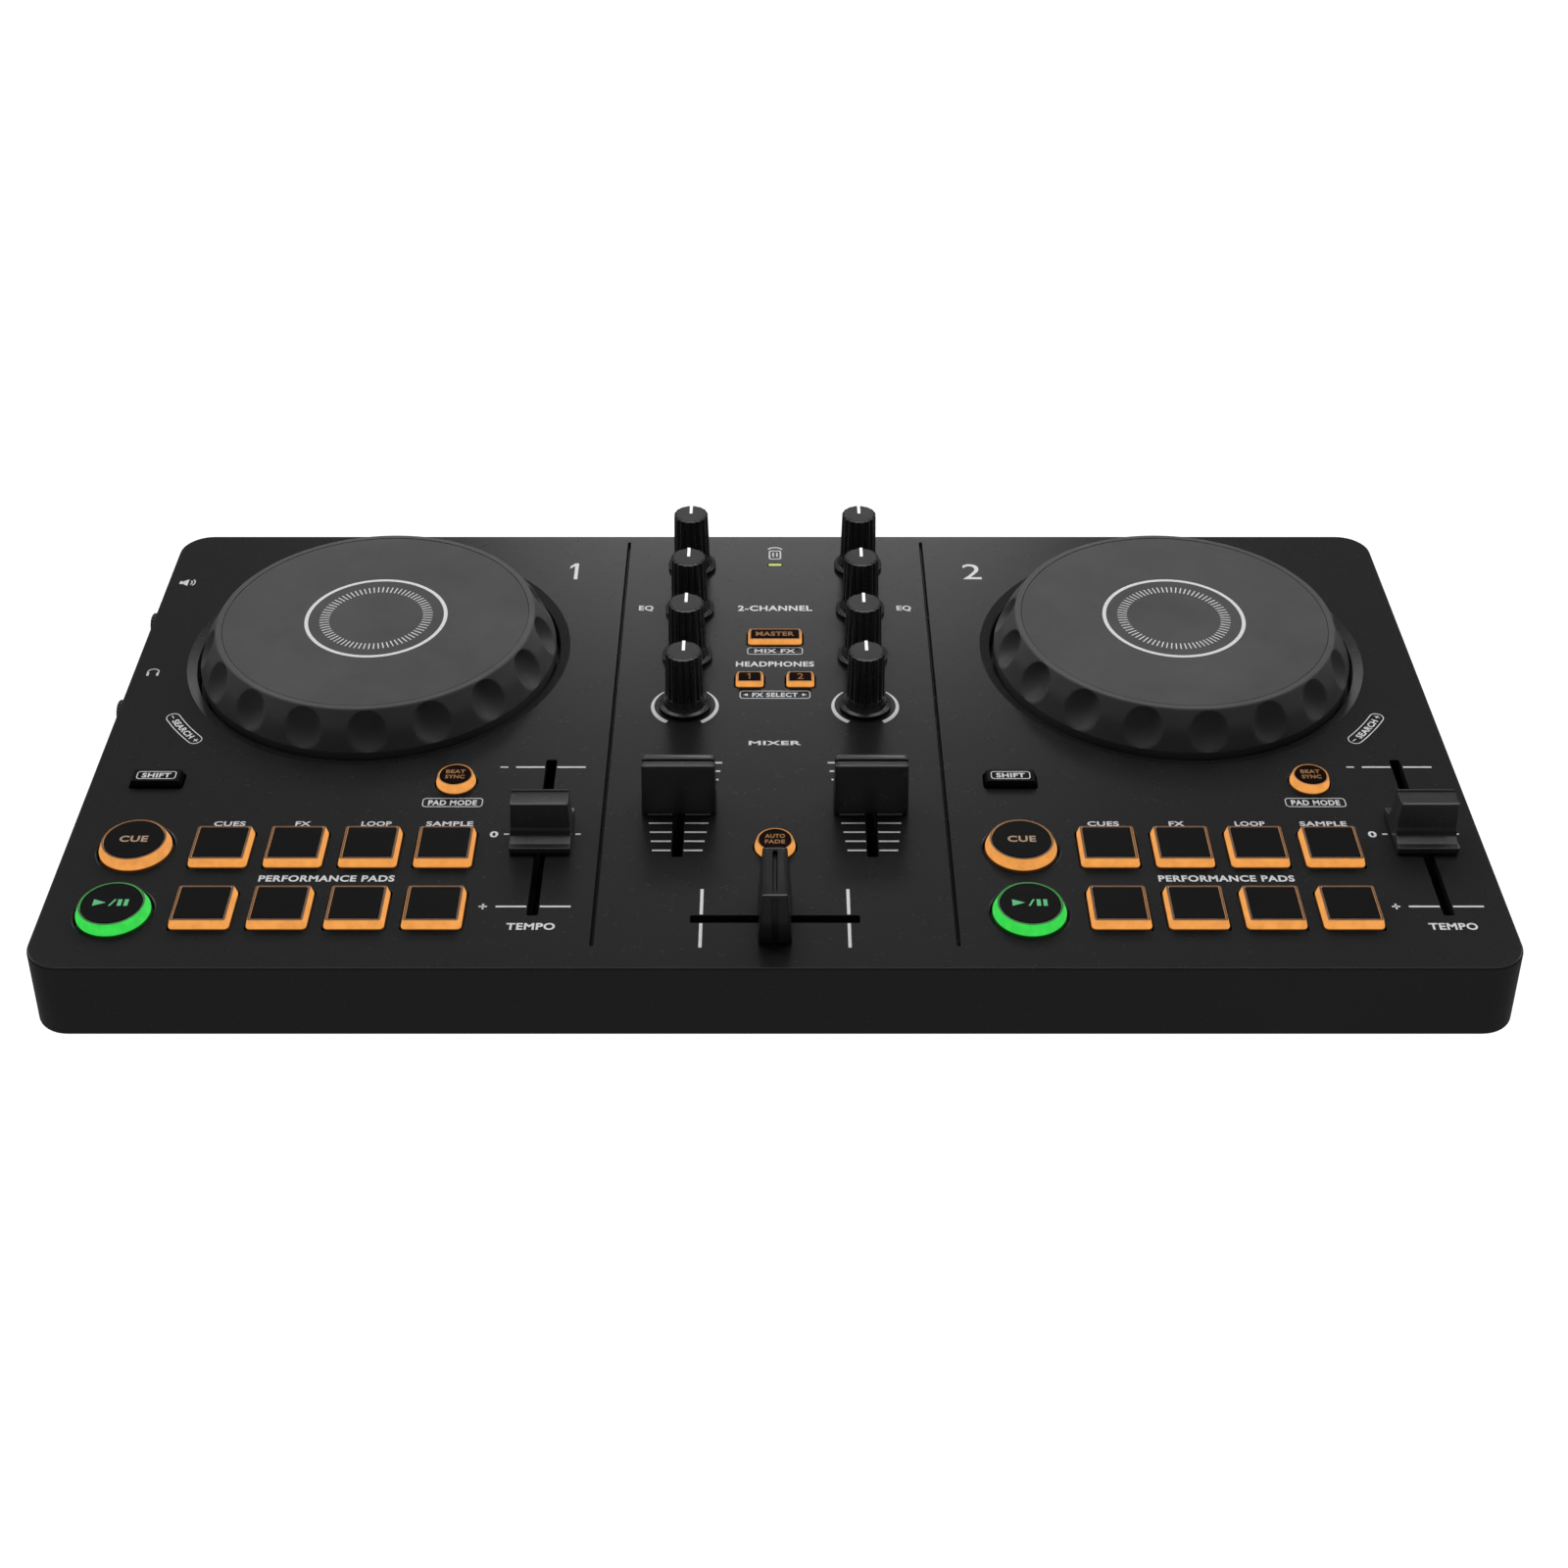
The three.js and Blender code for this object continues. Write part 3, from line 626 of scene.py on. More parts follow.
def screw(name, place, seat):
    """A pan-head screw seen from below, with a cross recess."""
    head = rounded([(-2.5, seat - 0.95, 0), (0, seat - 0.95, 0.5), (0, seat, 0), (-2, seat, 0)])
    arm, half = 1.3, 0.3
    cross = [(arm, -half), (arm, half), (half, half), (half, arm), (-half, arm), (-half, half),
             (-arm, half), (-arm, -half), (-half, -half), (-half, -arm), (half, -arm), (half, -half)]
    bm = bmesh.new()
    swept_into(bm, circle(2.6, 32), head, place)
    rings = [[(place.x + u, place.y + v, z) for u, v in cross] for z in (seat - 1.5, seat - 0.4)]
    piece(name, boolean(bm, lofted(rings), "DIFFERENCE"), plated_steel, HOUSING)


def foot(node):
    top = levels(node)[1]
    profile = rounded([(-3, 0.35, 0), (-2.4, 0.35, 0.2), (-2, 0, 0.3), (-0.7, 0, 0.5), (0, 0.8, 0.4),
                       (0, top, 0.2), (-3, top, 0)])
    swept_piece(f"{node}_pad", circle(foot_radius, 56), profile, centre(node), rubber_black, HOUSING,
                [node])


# ---- Jog wheels ----
def jog_ring(number):
    """The ring: a bevelled lip and a flared flank with scooped finger dimples."""
    node = f"jog_ring_{number}"
    place, (floor, top) = centre(node), levels(node)
    outer = rounded([
        (49.6, floor, 0), (jog_radius - 0.4, floor, 0.3), (jog_radius, floor + 1, 0.5),
        (jog_radius, plate_top + 0.9, 0.4), (50.6, plate_top + 7, 14), (47.4, plate_top + 11.7, 0.35),
        (47.0, top, 0.3), (45.47, top, 0.06), (45.47, top - 1.8, 0)], 5)
    count = 30 * dimple_count
    turns = [2 * math.pi * i / count for i in range(count)]
    rings = [[dimpled(r, z, turn) for turn in turns] for r, z in subdivided(outer, 0.45)]
    for r, z in ((40, top - 1.8), (40, top - 4.4), (44.5, top - 4.4), (49.0, floor)):
        rings.append([(x, y, z) for x, y in circle(r, count)(0)])
    bm = lofted(rings, (place.x, place.y, 0), close=True)
    piece(f"jog_wheel_ring_{number}", bm, ring_grey, f"jog_wheel_{number}", 24, [node])


def dimpled(r, z, turn):
    """A point of the flank, pressed in where a dimple lies."""
    pitch = 2 * math.pi / dimple_count
    away = (turn + math.pi / 2 - dimple_turn + pitch / 2) % pitch - pitch / 2
    u = away * r / dimple_half_width
    v = (z - plate_top - dimple_height) / dimple_half_height
    spread = u * u + v * v
    if spread < 1 and r > 46:
        r -= dimple_depth * (1 - spread)
    return (r * math.cos(turn), r * math.sin(turn), z)


def jog_plate(number):
    """The touch plate, with a ring and radial ticks printed on it."""
    node, body = f"jog_plate_{number}", f"jog_wheel_{number}"
    place, (low, high) = centre(node), levels(node)
    face = high - print_height
    profile = rounded([(-5, low, 0), (0, low, 0.1), (0, face, 0.3), (-5, face, 0)])
    swept_piece(f"jog_touch_plate_{number}", circle(touch_radius, 180), profile, place, jog_grey, body,
                [node])
    marks = Print(face)
    marks.arc_band(place, 20.1, 21.2, 0, 360, 120)
    tick_count = 72
    for i in range(tick_count):
        marks.spoke(place, 13.9, 16.8, 360 * i / tick_count, 0.34)
    marks.make(f"jog_marks_{number}", ink_grey, body, "jog_plate_plastic")


# ---- Printed marks ----
class Print:
    """Thin solid marks on a face at one height."""

    def __init__(self, base=plate_top):
        self.bm = bmesh.new()
        self.heights = (base + print_gap, base + print_height)

    def polygon(self, points):
        loft_into(self.bm, [[(x, y, z) for x, y in points] for z in self.heights])

    def bar(self, x0, y0, x1, y1):
        x0, x1 = sorted((x0, x1))
        self.polygon([(x0, y0), (x1, y0), (x1, y1), (x0, y1)])

    def band(self, outside, inside):
        """A closed line between two rings of equal point counts."""
        low, high = self.heights
        rings = [(outside, low), (outside, high), (inside, high), (inside, low)]
        loft_into(self.bm, [[(x, y, z) for x, y in ring] for ring, z in rings], close=True)

    def frame(self, x, y, width, depth, corner=frame_corner, line=frame_line):
        outline = rectangle(width, depth, corner, 5)
        self.band([(x + u, y + v) for u, v in outline(0)], [(x + u, y + v) for u, v in outline(-line)])

    def arc_band(self, place, inner, outer, start, stop, steps):
        def arc(radius, order):
            turns = [math.radians(start + (stop - start) * i / steps) for i in order]
            return [(place.x + radius * math.cos(a), place.y + radius * math.sin(a)) for a in turns]
        if stop - start >= 360:
            self.band(arc(outer, range(steps)), arc(inner, range(steps)))
            return
        for i in range(steps):
            self.polygon(arc(inner, (i + 1, i)) + arc(outer, (i, i + 1)))

    def spoke(self, place, inner, outer, turn, width):
        a = math.radians(turn)
        along = Vector((math.cos(a), math.sin(a)))
        across = Vector((-math.sin(a), math.cos(a))) * width / 2
        near, far = place.xy + along * inner, place.xy + along * outer
        self.polygon([tuple(near - across), tuple(far - across), tuple(far + across), tuple(near + across)])

    def text(self, words, x, y, height, width, bold=0.03, path=None):
        """Plain lettering centred on x, y, with the given capital height and overall width.

        With a path, x and y are places along and across it."""
        curve = bpy.data.curves.new("lettering", "FONT")
        curve.body = words
        curve.align_x = "CENTER"
        curve.size = height / 0.73
        curve.space_character = 1.08
        curve.offset = bold * curve.size
        curve.extrude = (print_height - print_gap) / 2
        curve.resolution_u = 4
        thing = linked("lettering", curve)
        mesh = bpy.data.meshes.new_from_object(thing.evaluated_get(bpy.context.evaluated_depsgraph_get()))
        spread = [vertex.co.x for vertex in mesh.vertices]
        stretch = width / (max(spread) - min(spread))
        middle = (max(spread) + min(spread)) / 2
        stretched = Matrix.Translation((x, y, sum(self.heights) / 2)) @ Matrix.Diagonal((stretch, 1, 1, 1))
        mesh.transform(stretched @ Matrix.Translation((-middle, -height / 2, 0)))
        if path:
            for vertex in mesh.vertices:
                vertex.co.xy = path(vertex.co.x, vertex.co.y)
        self.bm.from_mesh(mesh)
        bpy.data.objects.remove(thing)
        bpy.data.curves.remove(curve)
        bpy.data.meshes.remove(mesh)

    def digit(self, number, x, y, height):
        """A deck number; the figure one gets a flag so that it does not read as a bar."""
        if number == 2:
            self.text("2", x, y, height, height * 0.62, bold=0.0)
            return
        half, line = height / 2, height * 0.12
        stem_side, flag_end = x - line / 2, x - height * 0.22
        self.bar(stem_side, y - half, x + line / 2, y + half)
        self.polygon([(stem_side, y + half), (flag_end, y + half * 0.62), (flag_end, y + half * 0.34),
                      (stem_side, y + half * 0.66)])

    def make(self, name, look, body=HOUSING, slot_name="case_plastic"):
        piece(name, self.bm, look, body, weighted=False)


# ---- Keys and pads ----
def flange(lip):
    """A key's profile where its flange stands out by lip below the plate."""
    return [(lip, flange_foot, 0.1), (lip, flange_top, 0.1), (0, flange_top, 0)]


def pad(node):
    """A lit square body with a black cap let into its top."""
    place, size, (floor, top) = centre(node), extent(node), levels(node)
    width, depth = size.x - 2 * flange_lip, size.y - 2 * flange_lip
    lens_top = top - 0.12
    profile = rounded([
        (-5, flange_foot, 0), *flange(flange_lip - 0.02), (0, plate_top + 0.5, 0.3),
        (-0.62, lens_top, 0.28), (-1.22, lens_top, 0.05), (-1.27, lens_top - 0.45, 0),
        (-5, lens_top - 0.45, 0)], 3)
    bm = bmesh.new()
    swept_into(bm, rectangle(width, depth, 1.15, 5), profile, place)
    box_into(bm, (place.x - 3, place.y - 3, floor), (place.x + 3, place.y + 3, flange_top - 1.0))
    piece(f"{node}_lens", bm, amber, node, replaces=[node])
    cap = slab(-4, -1.3, lens_top - 0.4, top - 0.02, 0.14)
    swept_piece(f"{node}_cap", rectangle(width, depth, 1.6, 5), cap, place, key_black, node)


def round_key(node, look, count=64, cap_look=key_brown):
    """A lit round body with a cap let into its top; gives the height of the cap's face."""
    place, (floor, top) = centre(node), levels(node)
    radius = extent(node).x / 2 - round_flange_lip
    slope = radius * 0.115
    border = slope + (0.45 if radius > 7 else 0.35)
    lens_top, face = top - 0.2, top - 0.05
    profile = rounded([
        (-radius + 3, floor, 0), (-radius + 3, flange_foot, 0), *flange(round_flange_lip - 0.05),
        (0, plate_top + 0.5, 0.35), (-slope, lens_top, 0.3), (-border, lens_top, 0.05),
        (-border, lens_top - 0.45, 0), (-radius + 1, lens_top - 0.45, 0)], 3)
    swept_piece(f"{node}_lens", circle(radius, count), profile, place, look, node, [node])
    cap = slab(-radius + 1, -border - 0.12, lens_top - 0.4, face, 0.22, 4)
    swept_piece(f"{node}_cap", circle(radius, count), cap, place, cap_look, node)
    return face


def rectangular_key(node, lit=True):
    """A low key, black all over or a lit body under a dark cap; gives the height of its face."""
    place, size, (floor, top) = centre(node), extent(node), levels(node)
    width, depth = size.x - 2 * flange_lip, size.y - 2 * flange_lip
    base = [(-2.9, floor, 0), (-2.9, flange_foot, 0), *flange(flange_lip - 0.02)]
    outline = rectangle(width, depth, 0.9, 5)
    if not lit:
        face = top - 0.03
        profile = rounded([*base, (0, plate_top + 0.9, 0.3), (-0.5, face, 0.25), (-2.9, face, 0)], 3)
        swept_piece(f"{node}_cap", outline, profile, place, key_black, node, [node])
        return face
    lens_top, face = top - 0.15, top - 0.05
    profile = rounded([*base, (0, plate_top + 0.5, 0.25), (-0.4, lens_top, 0.2), (-0.78, lens_top, 0.04),
                       (-0.8, lens_top - 0.4, 0), (-2.5, lens_top - 0.4, 0)], 3)
    swept_piece(f"{node}_lens", outline, profile, place, amber_small, node, [node])
    cap = slab(-2.5, -0.84, lens_top - 0.35, face, 0.14)
    swept_piece(f"{node}_cap", rectangle(width, depth, 1.4, 5), cap, place, key_brown, node)
    return face


def play_glyph(marks, x, y):
    """The usual play triangle, slash and pause bars."""
    half = 1.3
    x += 0.7
    marks.polygon([(x - 5.4, y - half), (x - 2.1, y), (x - 5.4, y + half)])
    marks.polygon([(x - 1.3, y - half), (x - 0.75, y - half), (x + 0.5, y + half), (x - 0.05, y + half)])
    for left in (0.95, 2.65):
        marks.bar(x + left, y - half, x + left + 1.05, y + half)


def key_text(node, face, lines, height, width, look=ink_amber):
    """One or two lines of lettering on a key."""
    place, marks = centre(node), Print(face)
    for i, words in enumerate(lines):
        marks.text(words, place.x, place.y + (len(lines) - 1 - 2 * i) * height * 0.75, height, width)
    marks.make(f"{node}_label", look, node, "key_plastic")


def deck_keys(number):
    for node in pads(number):
        pad(node)
    node = f"cue_key_{number}"
    key_text(node, round_key(node, amber, count=96, cap_look=key_black), ["CUE"], 2.5, 7.6, ink_warm)
    node = f"play_key_{number}"
    marks = Print(round_key(node, green, 96, key_black))
    play_glyph(marks, *centre(node).xy)
    marks.make(f"play_glyph_{number}", ink_green, node, "green_lens")
    node = f"sync_key_{number}"
    key_text(node, round_key(node, amber_small), ["BEAT", "SYNC"], 1.6, 5.4)
    node = f"shift_key_{number}"
    place, marks = centre(node), Print(rectangular_key(node, lit=False))
    marks.text("SHIFT", place.x, place.y, 2.0, 8.0)
    marks.frame(place.x, place.y, 11, 3.5, 0.9)
    marks.make(f"shift_label_{number}", ink_grey, node, "key_plastic")


def mixer_keys():
    key_text("blend_key", round_key("blend_key", amber_small), ["AUTO", "FADE"], 1.6, 5.4)
    key_text("master_key", rectangular_key("master_key"), ["MASTER"], 2.2, 11.6)
    for number in deck_numbers:
        node = f"headphone_key_{number}"
        marks = Print(rectangular_key(node))
        marks.digit(number, *centre(node).xy, 3.0)
        marks.make(f"{node}_label", ink_amber, node, "key_plastic")


# ---- Knobs, dials and fader caps ----
def knob(node):
    """A fluted column on a flared skirt, a grey top and a white pointer."""
    place, (floor, top) = centre(node), levels(node)
    count = 10 * knob_flutes
    skirt = rounded([
        (3.3, plate_top + 0.72, 0), (skirt_radius, plate_top + 0.72, 0.2),
        (skirt_radius, plate_top + 1.3, 0.2), (6.4, plate_top + 1.68, 0.4), (5.9, plate_top + 3.1, 1.2),
        (5.7, plate_top + 4.4, 0)], 6)
    rings = []
    for r, z in [(3, floor), (3, plate_top + 0.6), *skirt]:
        rings.append([(x, y, z) for x, y in circle(r, count)(0)])
    column = ((5.65, plate_top + 4.5), (5.3, top - 0.75), (5.28, top - 0.45), (5.2, top - 0.3),
              (4.6, top - 0.09), (4.5, top - 0.06), (4.4, top - 0.06))
    for r, z in column:
        depth = 0.5 if z < top - 0.3 else 0.2  # the flutes fade out at the top rim
        rings.append([(x, y, z) for x, y in ribbed(r, count, knob_flutes, depth, 0.6)])
    bm = lofted(rings, (place.x, place.y, 0))
    piece(f"{node}_body", bm, knob_black, node, 40, [node])
    cap = slab(-2, 0, top - 0.1, top - 0.03, 0.04, 2)
    swept_piece(f"{node}_top", circle(4.5, 64), cap, place, knob_grey, node)
    pointer, left, right = bmesh.new(), place.x - 0.45, place.x + 0.45
    box_into(pointer, (left, place.y + 0.1, top - 0.3), (right, place.y + 5.1, top - 0.004))
    box_into(pointer, (left, place.y + 4.6, top - 2.4), (right, place.y + 5.2, top - 0.3))
    # the pointer's ink glows as painted light
    piece(f"{node}_pointer", pointer, ink_white_painted_glow, node, weighted=False)


def level_dial(node):
    """A small ribbed roller that stands out of the left wall."""
    place, (low, high) = centre(node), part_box(node)
    out, back = low.x / MM, high.x / MM
    profile = ((out + 0.02, 1.5), (out + 0.02, 3.5), (out + 0.25, 3.95), (out + 0.6, 4.2),
               (back - 2.4, 4.2), (back - 2.2, 4.0), (back - 2.1, 2), (back, 2))
    rings = []
    for x, radius in profile:
        depth = 0.28 if radius > 3.7 else 0
        rings.append(around_x(place, x, ribbed(radius, 120, dial_ribs, depth, 0.7)))
    piece(f"{node}_roller", lofted(rings), knob_black, node, 40, [node])


def nearer(value, inset):
    """A coordinate moved towards zero by inset."""
    return value - math.copysign(min(inset, abs(value)), value)


def block_cap(node, along_x):
    """A tall tapered cap with a finger groove along its top; the crossfader's ends are grooved too."""
    size, (floor, top) = extent(node), levels(node)
    length, depth = max(size.x, size.y), min(size.x, size.y)
    base = plate_top + 0.5
    height = top - base
    narrowing, forward = (3.3, 0.6) if along_x else (2.6, 0)

    def section(z, inset):
        share = z / height
        ring = rectangle(length - 0.7 * share, depth - narrowing * share, 0.7, 5)(0)
        return [(nearer(x, inset), nearer(y, inset) - forward * share, base + z) for x, y in ring]

    steps = ((0, 0.35), (0.12, 0.12), (0.4, 0), (height - 0.55, 0), (height - 0.4, 0.04),
             (height - 0.26, 0.16), (height, 0.9))
    rings = [section(z, inset) for z, inset in steps]
    bm = boolean(lofted(rings), stem(floor, base + 0.3), "UNION")
    reach = length if along_x else length / 2 - 2.1
    shift = forward + 0.2 * along_x
    groove = [(-0.66, top + 1), (-0.62, top - 0.9), (-0.35, top - 1.1), (0.35, top - 1.1), (0.62, top - 0.9),
              (0.66, top + 1)]
    rings = [[(x, y - shift, z) for y, z in groove] for x in (-reach, reach)]
    bm = boolean(bm, lofted(rings), "DIFFERENCE")
    if not along_x:
        bm = boolean(bm, end_grooves(length, base, top), "DIFFERENCE")
    return bm


def end_grooves(length, base, top):
    """Upright grooves that follow the leaning ends of a cap and stop short of its top."""
    bm = bmesh.new()
    for side in (-1, 1):
        inner, outer = side * (length / 2 - 1.1), side * (length / 2 + 2)
        slot = [(inner, -0.8), (outer, -1.0), (outer, 1.0), (inner, 0.8)]
        lean_in = -side * 0.9
        loft_into(bm, [[(x, y, base + 1) for x, y in slot], [(x + lean_in, y, top - 0.9) for x, y in slot]])
    return bm


def stem(low, high):
    """A rectangular post on the local origin."""
    bm = bmesh.new()
    x, y = stem_half
    box_into(bm, (-x, -y, low), (x, y, high))
    return bm


def fader_piece(node, bm, look, turn=0, smooth_angle=32):
    """Sets a cap made on the local origin on its fader."""
    place = centre(node)
    bm.transform(Matrix.Translation((place.x, place.y, 0)) @ Matrix.Rotation(turn, 4, "Z"))
    piece(f"{node}_cap", bm, look, node, smooth_angle, [node])


def block_faders():
    for number in deck_numbers:
        node = f"channel_fader_{number}"
        fader_piece(node, block_cap(node, True), fader_black)
    fader_piece("crossfader", block_cap("crossfader", False), cross_black, math.pi / 2)


def tempo_cap(node):
    """A wide cap: low flared feet front and back, a tall ridge with a dished top."""
    floor, top = levels(node)
    base = plate_top + 0.6
    half = rounded([
        (9.05, base, 0), (9.05, plate_top + 2.2, 0.35), (7.2, plate_top + 2.35, 0.3),
        (4.75, plate_top + 3.3, 0.4), (4.6, plate_top + 4.9, 0.3), (4.0, plate_top + 5.35, 0.3),
        (3.45, top - 0.25, 0.1), (2.75, top, 0.15), (2.45, top - 0.6, 0.2), (0, top - 0.7, 0)], 5)
    outline = half + [(-r, z) for r, z in reversed(half[:-1])]
    half_width = (extent(node).x - 0.02) / 2
    rings = []
    for share, inset in ((-1, 0.3), (-0.985, 0.1), (-0.96, 0), (0.96, 0), (0.985, 0.1), (1, 0.3)):
        ring = []
        for y, z in outline:
            taper = 1 - (z - base) / (top - base) * 0.066
            ring.append((share * half_width * taper, nearer(y, inset), min(z, top - inset)))
        rings.append(ring)
    bm = boolean(lofted(rings), stem(floor, base + 0.3), "UNION")
    fader_piece(node, bm, fader_black, smooth_angle=30)


# ---- Sockets and inner parts ----
def jack_socket(node):
    """A black socket in the left wall with a plated sleeve in it."""
    place, face = centre(node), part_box(node)[0].x / MM

    def turned(name, profile, count, look, replaces=()):
        rings = [around_x(place, face + x, circle(r, count)(0)) for x, r in profile]
        piece(f"{node}_{name}", lofted(rings, close=True), look, HOUSING, replaces=replaces)

    body = ((4, 3), (0.1, 3), (0, 2.85), (0, 2.1), (0.25, 1.85), (11, 1.8), (12, 1.8), (12, 3))
    turned("socket", body, 48, pan_black, [node])
    turned("sleeve", ((0.6, 1.78), (0.6, 1.6), (9, 1.6), (9, 1.78)), 40, plated_steel)


def usb_socket():
    """A plated shell, open to the rear, with a black tongue in it."""
    place, (low, high) = centre("usb_port"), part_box("usb_port")
    rear, front = high.y / MM, low.y / MM
    outer, inner = rectangle(9, 3.3, 1.62, 8), rectangle(8.4, 2.7, 1.32, 8)
    steps = ((outer, front), (outer, rear - 0.05), (inner, rear), (inner, front + 1))
    shell = lofted([facing_rear(place, y, outline(0)) for outline, y in steps])
    piece("usb_shell", shell, plated_steel, HOUSING, replaces=["usb_port"])
    blade = rectangle(6.4, 0.7, 0.2, 3)
    steps = ((front + 1.05, 0), (rear - 1.5, 0), (rear - 1.3, -0.15))
    tongue = lofted([facing_rear(place, y, blade(offset)) for y, offset in steps])
    piece("usb_tongue", tongue, key_black, HOUSING)


def indicator():
    node = "indicator_lens"
    floor, top = levels(node)
    profile = slab(-0.55, 0, floor, top - 0.02, 0.12)
    swept_piece("indicator_light", rectangle(4.1, 1.2, 0.25, 4), profile, centre(node), yellow, HOUSING,
                [node])


def inner_parts():
    """CAD nodes whose shape is right keep it and take a finish."""
    for node, look in (("main_board", board_green), ("jog_hub_1", plated_steel), ("jog_hub_2", plated_steel)):
        frame["nodes"][node].data.materials.clear()
        frame["nodes"][node].data.materials.append(look)


# ---- Printing on the control plate ----
def tempo_scale(marks, x, y):
    """The end lines, the middle marks, a minus, a plus and a zero beside a tempo fader."""
    for side in (-1, 1):
        for end in (-1, 1):
            line = y + end * 30.25
            marks.bar(x + side * 1.75, line - 0.32, x + side * 9.8, line + 0.32)
        marks.bar(x + side * 9.0, y - 0.28, x + side * 10.4, y + 0.28)
    marks.bar(x - 14.2, y + 30.0, x - 12.0, y + 30.5)
    marks.bar(x - 14.2, y - 30.5, x - 12.0, y - 30.0)
    marks.bar(x - 13.35, y - 31.35, x - 12.85, y - 29.15)
    marks.text("0", x - 13.1, y, 2.5, 2.3)
    marks.text("TEMPO", x, y - 38.1, 2.6, 12.6)


def deck_print(number):
    marks, soft = Print(), Print()
    tempo_scale(marks, *centre(f"tempo_fader_{number}").xy)
    places = [centre(node) for node in pads(number)]
    for place, (words, width) in zip(places, (("CUES", 8.6), ("FX", 4.2), ("LOOP", 8.2), ("SAMPLE", 12.8))):
        soft.text(words, place.x, place.y + 11.4, 2.0, width)
    middle = (places[1].x + places[2].x) / 2
    marks.text("PERFORMANCE PADS", middle, (places[0].y + places[4].y) / 2 + 0.6, 2.5, 36)
    sync = centre(f"sync_key_{number}")
    marks.text("PAD MODE", sync.x, sync.y - 9.2, 2.2, 13.4)
    marks.frame(sync.x, sync.y - 9.2, 16.7, 4.0)
    jog = centre(f"jog_ring_{number}")
    search_label(marks, jog, -1 if number == 1 else 1)
    marks.digit(number, jog.x + (56.1 if number == 1 else -56.7), jog.y + 45.0, 9.4)
    marks.make(f"deck_{number}_marks", ink_grey)
    soft.make(f"deck_{number}_pad_marks", ink_soft)


def search_label(marks, jog, side):
    """A capsule outline that follows the jog well, with the word and a minus and a plus in it."""
    turn = math.radians(270 + side * 52)
    radius, half, width, line = 65.2, 8.9, 4.2, 0.28

    def at(u, v):
        a = turn + u / radius
        return (jog.x + (radius - v) * math.cos(a), jog.y + (radius - v) * math.sin(a))

    def block(u, v, wide, tall):
        corners = ((-1, -1), (1, -1), (1, 1), (-1, 1))
        marks.polygon([at(u + a * wide / 2, v + b * tall / 2) for a, b in corners])

    marks.band(capsule(at, half, width / 2), capsule(at, half - line, width / 2 - line))
    for end in (-1, 1):
        block(end * (half - 1.7), 0, 1.5, 0.3)
    for v in (-0.45, 0.45):
        block(half - 1.7, v, 0.3, 0.6)
    marks.text("SEARCH", 0, 0, 2.0, 10.8, path=at)


def capsule(at, half, radius, steps=10):
    """A round-ended outline laid along a path; both straight sides are cut into steps."""
    reach = half - radius
    points = []
    for side in (1, -1):
        points += [at(side * reach * (1 - 2 * i / steps), side * radius) for i in range(steps)]
        for i in range(steps):
            a = math.pi / 2 + math.pi * i / steps
            points.append(at(side * (radius * math.cos(a) - reach), side * radius * math.sin(a)))
    return points


def channel_print(marks, number):
    """A channel fader's scale, the ring around its filter knob and its EQ label."""
    fader = centre(f"channel_fader_{number}")
    for i in range(11):
        y = fader.y + (i - 5) * 3.93
        reach = 6.8 + i * 0.46
        for side in (-1, 1):
            marks.bar(fader.x + side * 1.75, y - 0.31, fader.x + side * reach, y + 0.31)
    tapered_ring(marks, centre(f"filter_knob_{number}"))
    treble = centre(f"treble_knob_{number}")
    side = -1 if number == 1 else 1
    marks.text("EQ", treble.x + side * 13.6, treble.y + 1.4, 2.6, 4.5)


def mixer_print():
    marks, middle = Print(), case_centre.x
    for number in deck_numbers:
        channel_print(marks, number)
    marks.text("2-CHANNEL", middle, 62.4, 2.9, 23.0)
    marks.text("MIXER", middle, -8.1, 2.0, 15.0)
    cross = centre("crossfader")
    for side in (-1, 1):
        for near, far in ((1.75, 12), (-11.2, -1.75)):
            marks.bar(cross.x + side * 18.75, cross.y + near, cross.x + side * 19.6, cross.y + far)
    master = centre("master_key")
    marks.text("MIX FX", master.x, master.y - 6.3, 2.0, 12.4)
    marks.frame(master.x, master.y - 6.4, 16.8, 3.8)
    phones = centre("headphone_key_1")
    marks.text("HEADPHONES", middle, phones.y + 9.3, 2.6, 23.4)
    marks.frame(middle, phones.y - 6.7, 20.8, 4.0)
    marks.text("FX SELECT", middle, phones.y - 6.7, 2.1, 13.4)
    for side in (-1, 1):
        tip, tail = middle + side * 9.3, middle + side * 8.0
        marks.polygon([(tail, phones.y - 7.4), (tip, phones.y - 6.7), (tail, phones.y - 6.0)])
    marks.make("mixer_marks", ink_grey)


def tapered_ring(marks, place):
    """A ring around a knob, open at the front and thinning towards the back."""
    steps, gap_turn, end_turn = 60, 32, 138
    for side in (-1, 1):
        for i in range(steps):
            corners = []
            for k, edge in ((i, -1), (i + 1, -1), (i + 1, 1), (i, 1)):
                line = 1.35 * (1 - 0.7 * (k / steps) ** 1.4)
                radius = 10 - 0.6 + edge * line / 2
                a = math.radians(-90 + side * (gap_turn + (end_turn - gap_turn) * k / steps))
                corners.append((place.x + radius * math.cos(a), place.y + radius * math.sin(a)))
            marks.polygon(corners)


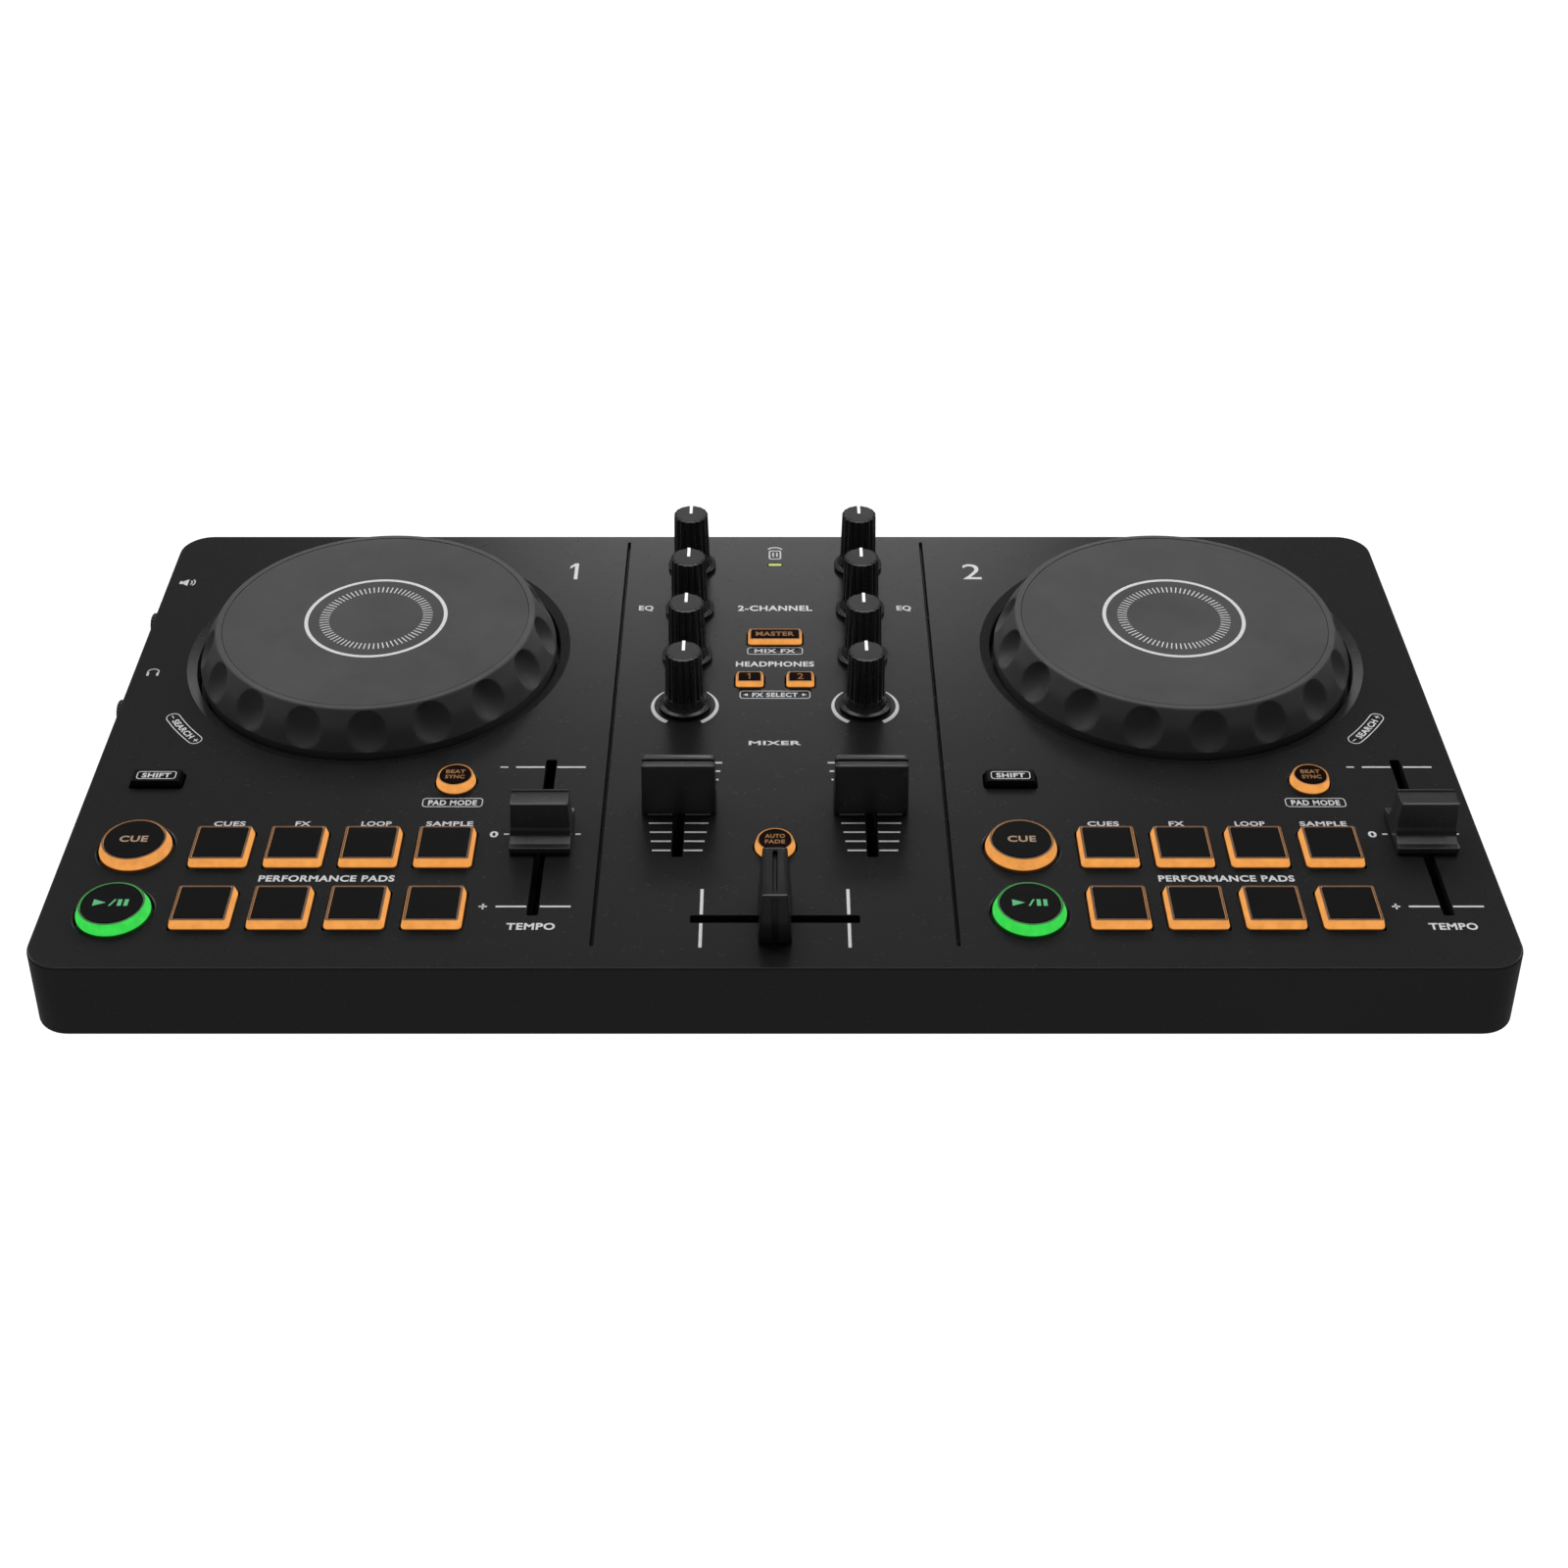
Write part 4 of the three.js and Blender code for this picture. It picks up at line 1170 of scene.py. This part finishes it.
def small_symbols():
    """A loudspeaker and a headphone beside the left sockets, and a device over the indicator."""
    marks = Print()
    x, y = case_centre.x - 185.2, 77.1
    marks.bar(x - 2.3, y - 0.8, x - 1.2, y + 0.8)
    marks.polygon([(x - 1.1, y - 0.8), (x + 0.4, y - 1.9), (x + 0.4, y + 1.9), (x - 1.1, y + 0.8)])
    for radius in (1.4, 2.3):
        marks.arc_band(Vector((x, y)), radius, radius + 0.4, -42, 42, 8)
    y = 27.4
    marks.arc_band(Vector((x, y)), 1.5, 1.85, -10, 190, 20)
    for side in (-1, 1):
        marks.bar(x + side * 1.1, y - 1.8, x + side * 1.8, y - 0.1)
    light = centre("indicator_lens")
    x, y = light.x, light.y + 6
    marks.frame(x, y, 4.0, 5.4, 0.9, 0.5)
    for side in (-1, 1):
        marks.bar(x + side * 0.6 - 0.25, y - 1.1, x + side * 0.6 + 0.25, y + 1.4)
    marks.arc_band(Vector((x, y + 1.8)), 2.4, 3.0, 35, 145, 10)
    marks.make("small_symbols", ink_soft)


# ---- Stage, in metres ----
def camera():
    data = bpy.data.cameras.new("camera")
    data.lens = camera_lens
    data.sensor_width = 36
    data.shift_x = camera_shift
    data.clip_start = 0.01
    thing = linked("camera", data)
    place = Vector((case_centre.x, front_edge - camera_ahead, plate_top + camera_above)) * MM
    thing.matrix_world = Matrix.Translation(place) @ Matrix.Rotation(math.radians(90 - camera_tilt), 4, "X")
    bpy.context.scene.camera = thing


def area_light(name, place, size, power, target=(0, 0, 0)):
    data = bpy.data.lights.new(name, "AREA")
    data.shape = "RECTANGLE"
    data.size, data.size_y = size
    data.energy = power
    thing = linked(name, data)
    aim = Vector(target) - Vector(place)
    thing.matrix_world = Matrix.Translation(place) @ aim.to_track_quat("-Z", "Y").to_matrix().to_4x4()
    return thing


def lights():
    """Soft light from above and from behind."""
    area_light("overhead", (0, 0.35, 1.2), (1.4, 0.5), overhead_power)
    area_light("rear_key", (0, 1.3, 1.0), (1.2, 0.6), key_power).visible_glossy = False
    for side in (-1, 1):
        area_light(f"rear_side_{side + 2}", (side * 1.15, 0.8, 1.0), (0.5, 0.5), rear_side_power)
    area_light("rear_glow", (0, 1.6, 0.85), (0.6, 0.25), glow_power, (0, 0.1, 0.03))


def paper():
    """White paper under the case."""
    floor = bmesh.new()
    swept_into(floor, rectangle(6000, 6000, 100), [(0, -12), (0, -0.05)])
    thing = linked("floor", finish_mesh("floor", floor))
    look, _, shader = new_look("floor_paper")
    set_inputs(shader, Base_Color=grey(paper_base), Roughness=0.9, Emission_Color=grey(1),
               Emission_Strength=paper_glow)
    thing.data.materials.append(look)
    thing.visible_glossy = False


def room():
    """A dim room that the camera sees as white."""
    world = bpy.data.worlds.new("studio")
    world.use_nodes = True
    bpy.context.scene.world = world
    tree = world.node_tree
    dim, white = tree.nodes["Background"], add_node(tree, "ShaderNodeBackground", Color=(1, 1, 1, 1))
    set_inputs(dim, Strength=room_light, Color=(1, 1, 1, 1))
    path, mix = tree.nodes.new("ShaderNodeLightPath"), tree.nodes.new("ShaderNodeMixShader")
    tree.links.new(path.outputs["Is Camera Ray"], mix.inputs["Fac"])
    tree.links.new(dim.outputs["Background"], mix.inputs[1])
    tree.links.new(white.outputs["Background"], mix.inputs[2])
    tree.links.new(mix.outputs["Shader"], tree.nodes["World Output"].inputs["Surface"])


camera()
paper()
room()
lights()
bpy.context.scene.view_settings.view_transform = "Standard"
top_case()
bottom_case()
for node in feet:
    foot(node)
for number in deck_numbers:
    jog_ring(number)
    jog_plate(number)
    deck_keys(number)
    tempo_cap(f"tempo_fader_{number}")
    deck_print(number)
mixer_keys()
block_faders()
for node in knobs:
    knob(node)
for output in ("master", "headphone"):
    level_dial(f"{output}_level_dial")
for output in ("master", "headphone"):
    jack_socket(f"{output}_jack")
usb_socket()
indicator()
inner_parts()
mixer_print()
small_symbols()
# The lit lenses show their glow to the camera but do not colour what is beside them
for thing in bpy.data.objects:
    if thing.type == "MESH" and thing.data.materials:
        if thing.data.materials[0] in (amber, amber_small, green, yellow):
            thing.visible_diffuse = False
            thing.visible_glossy = False
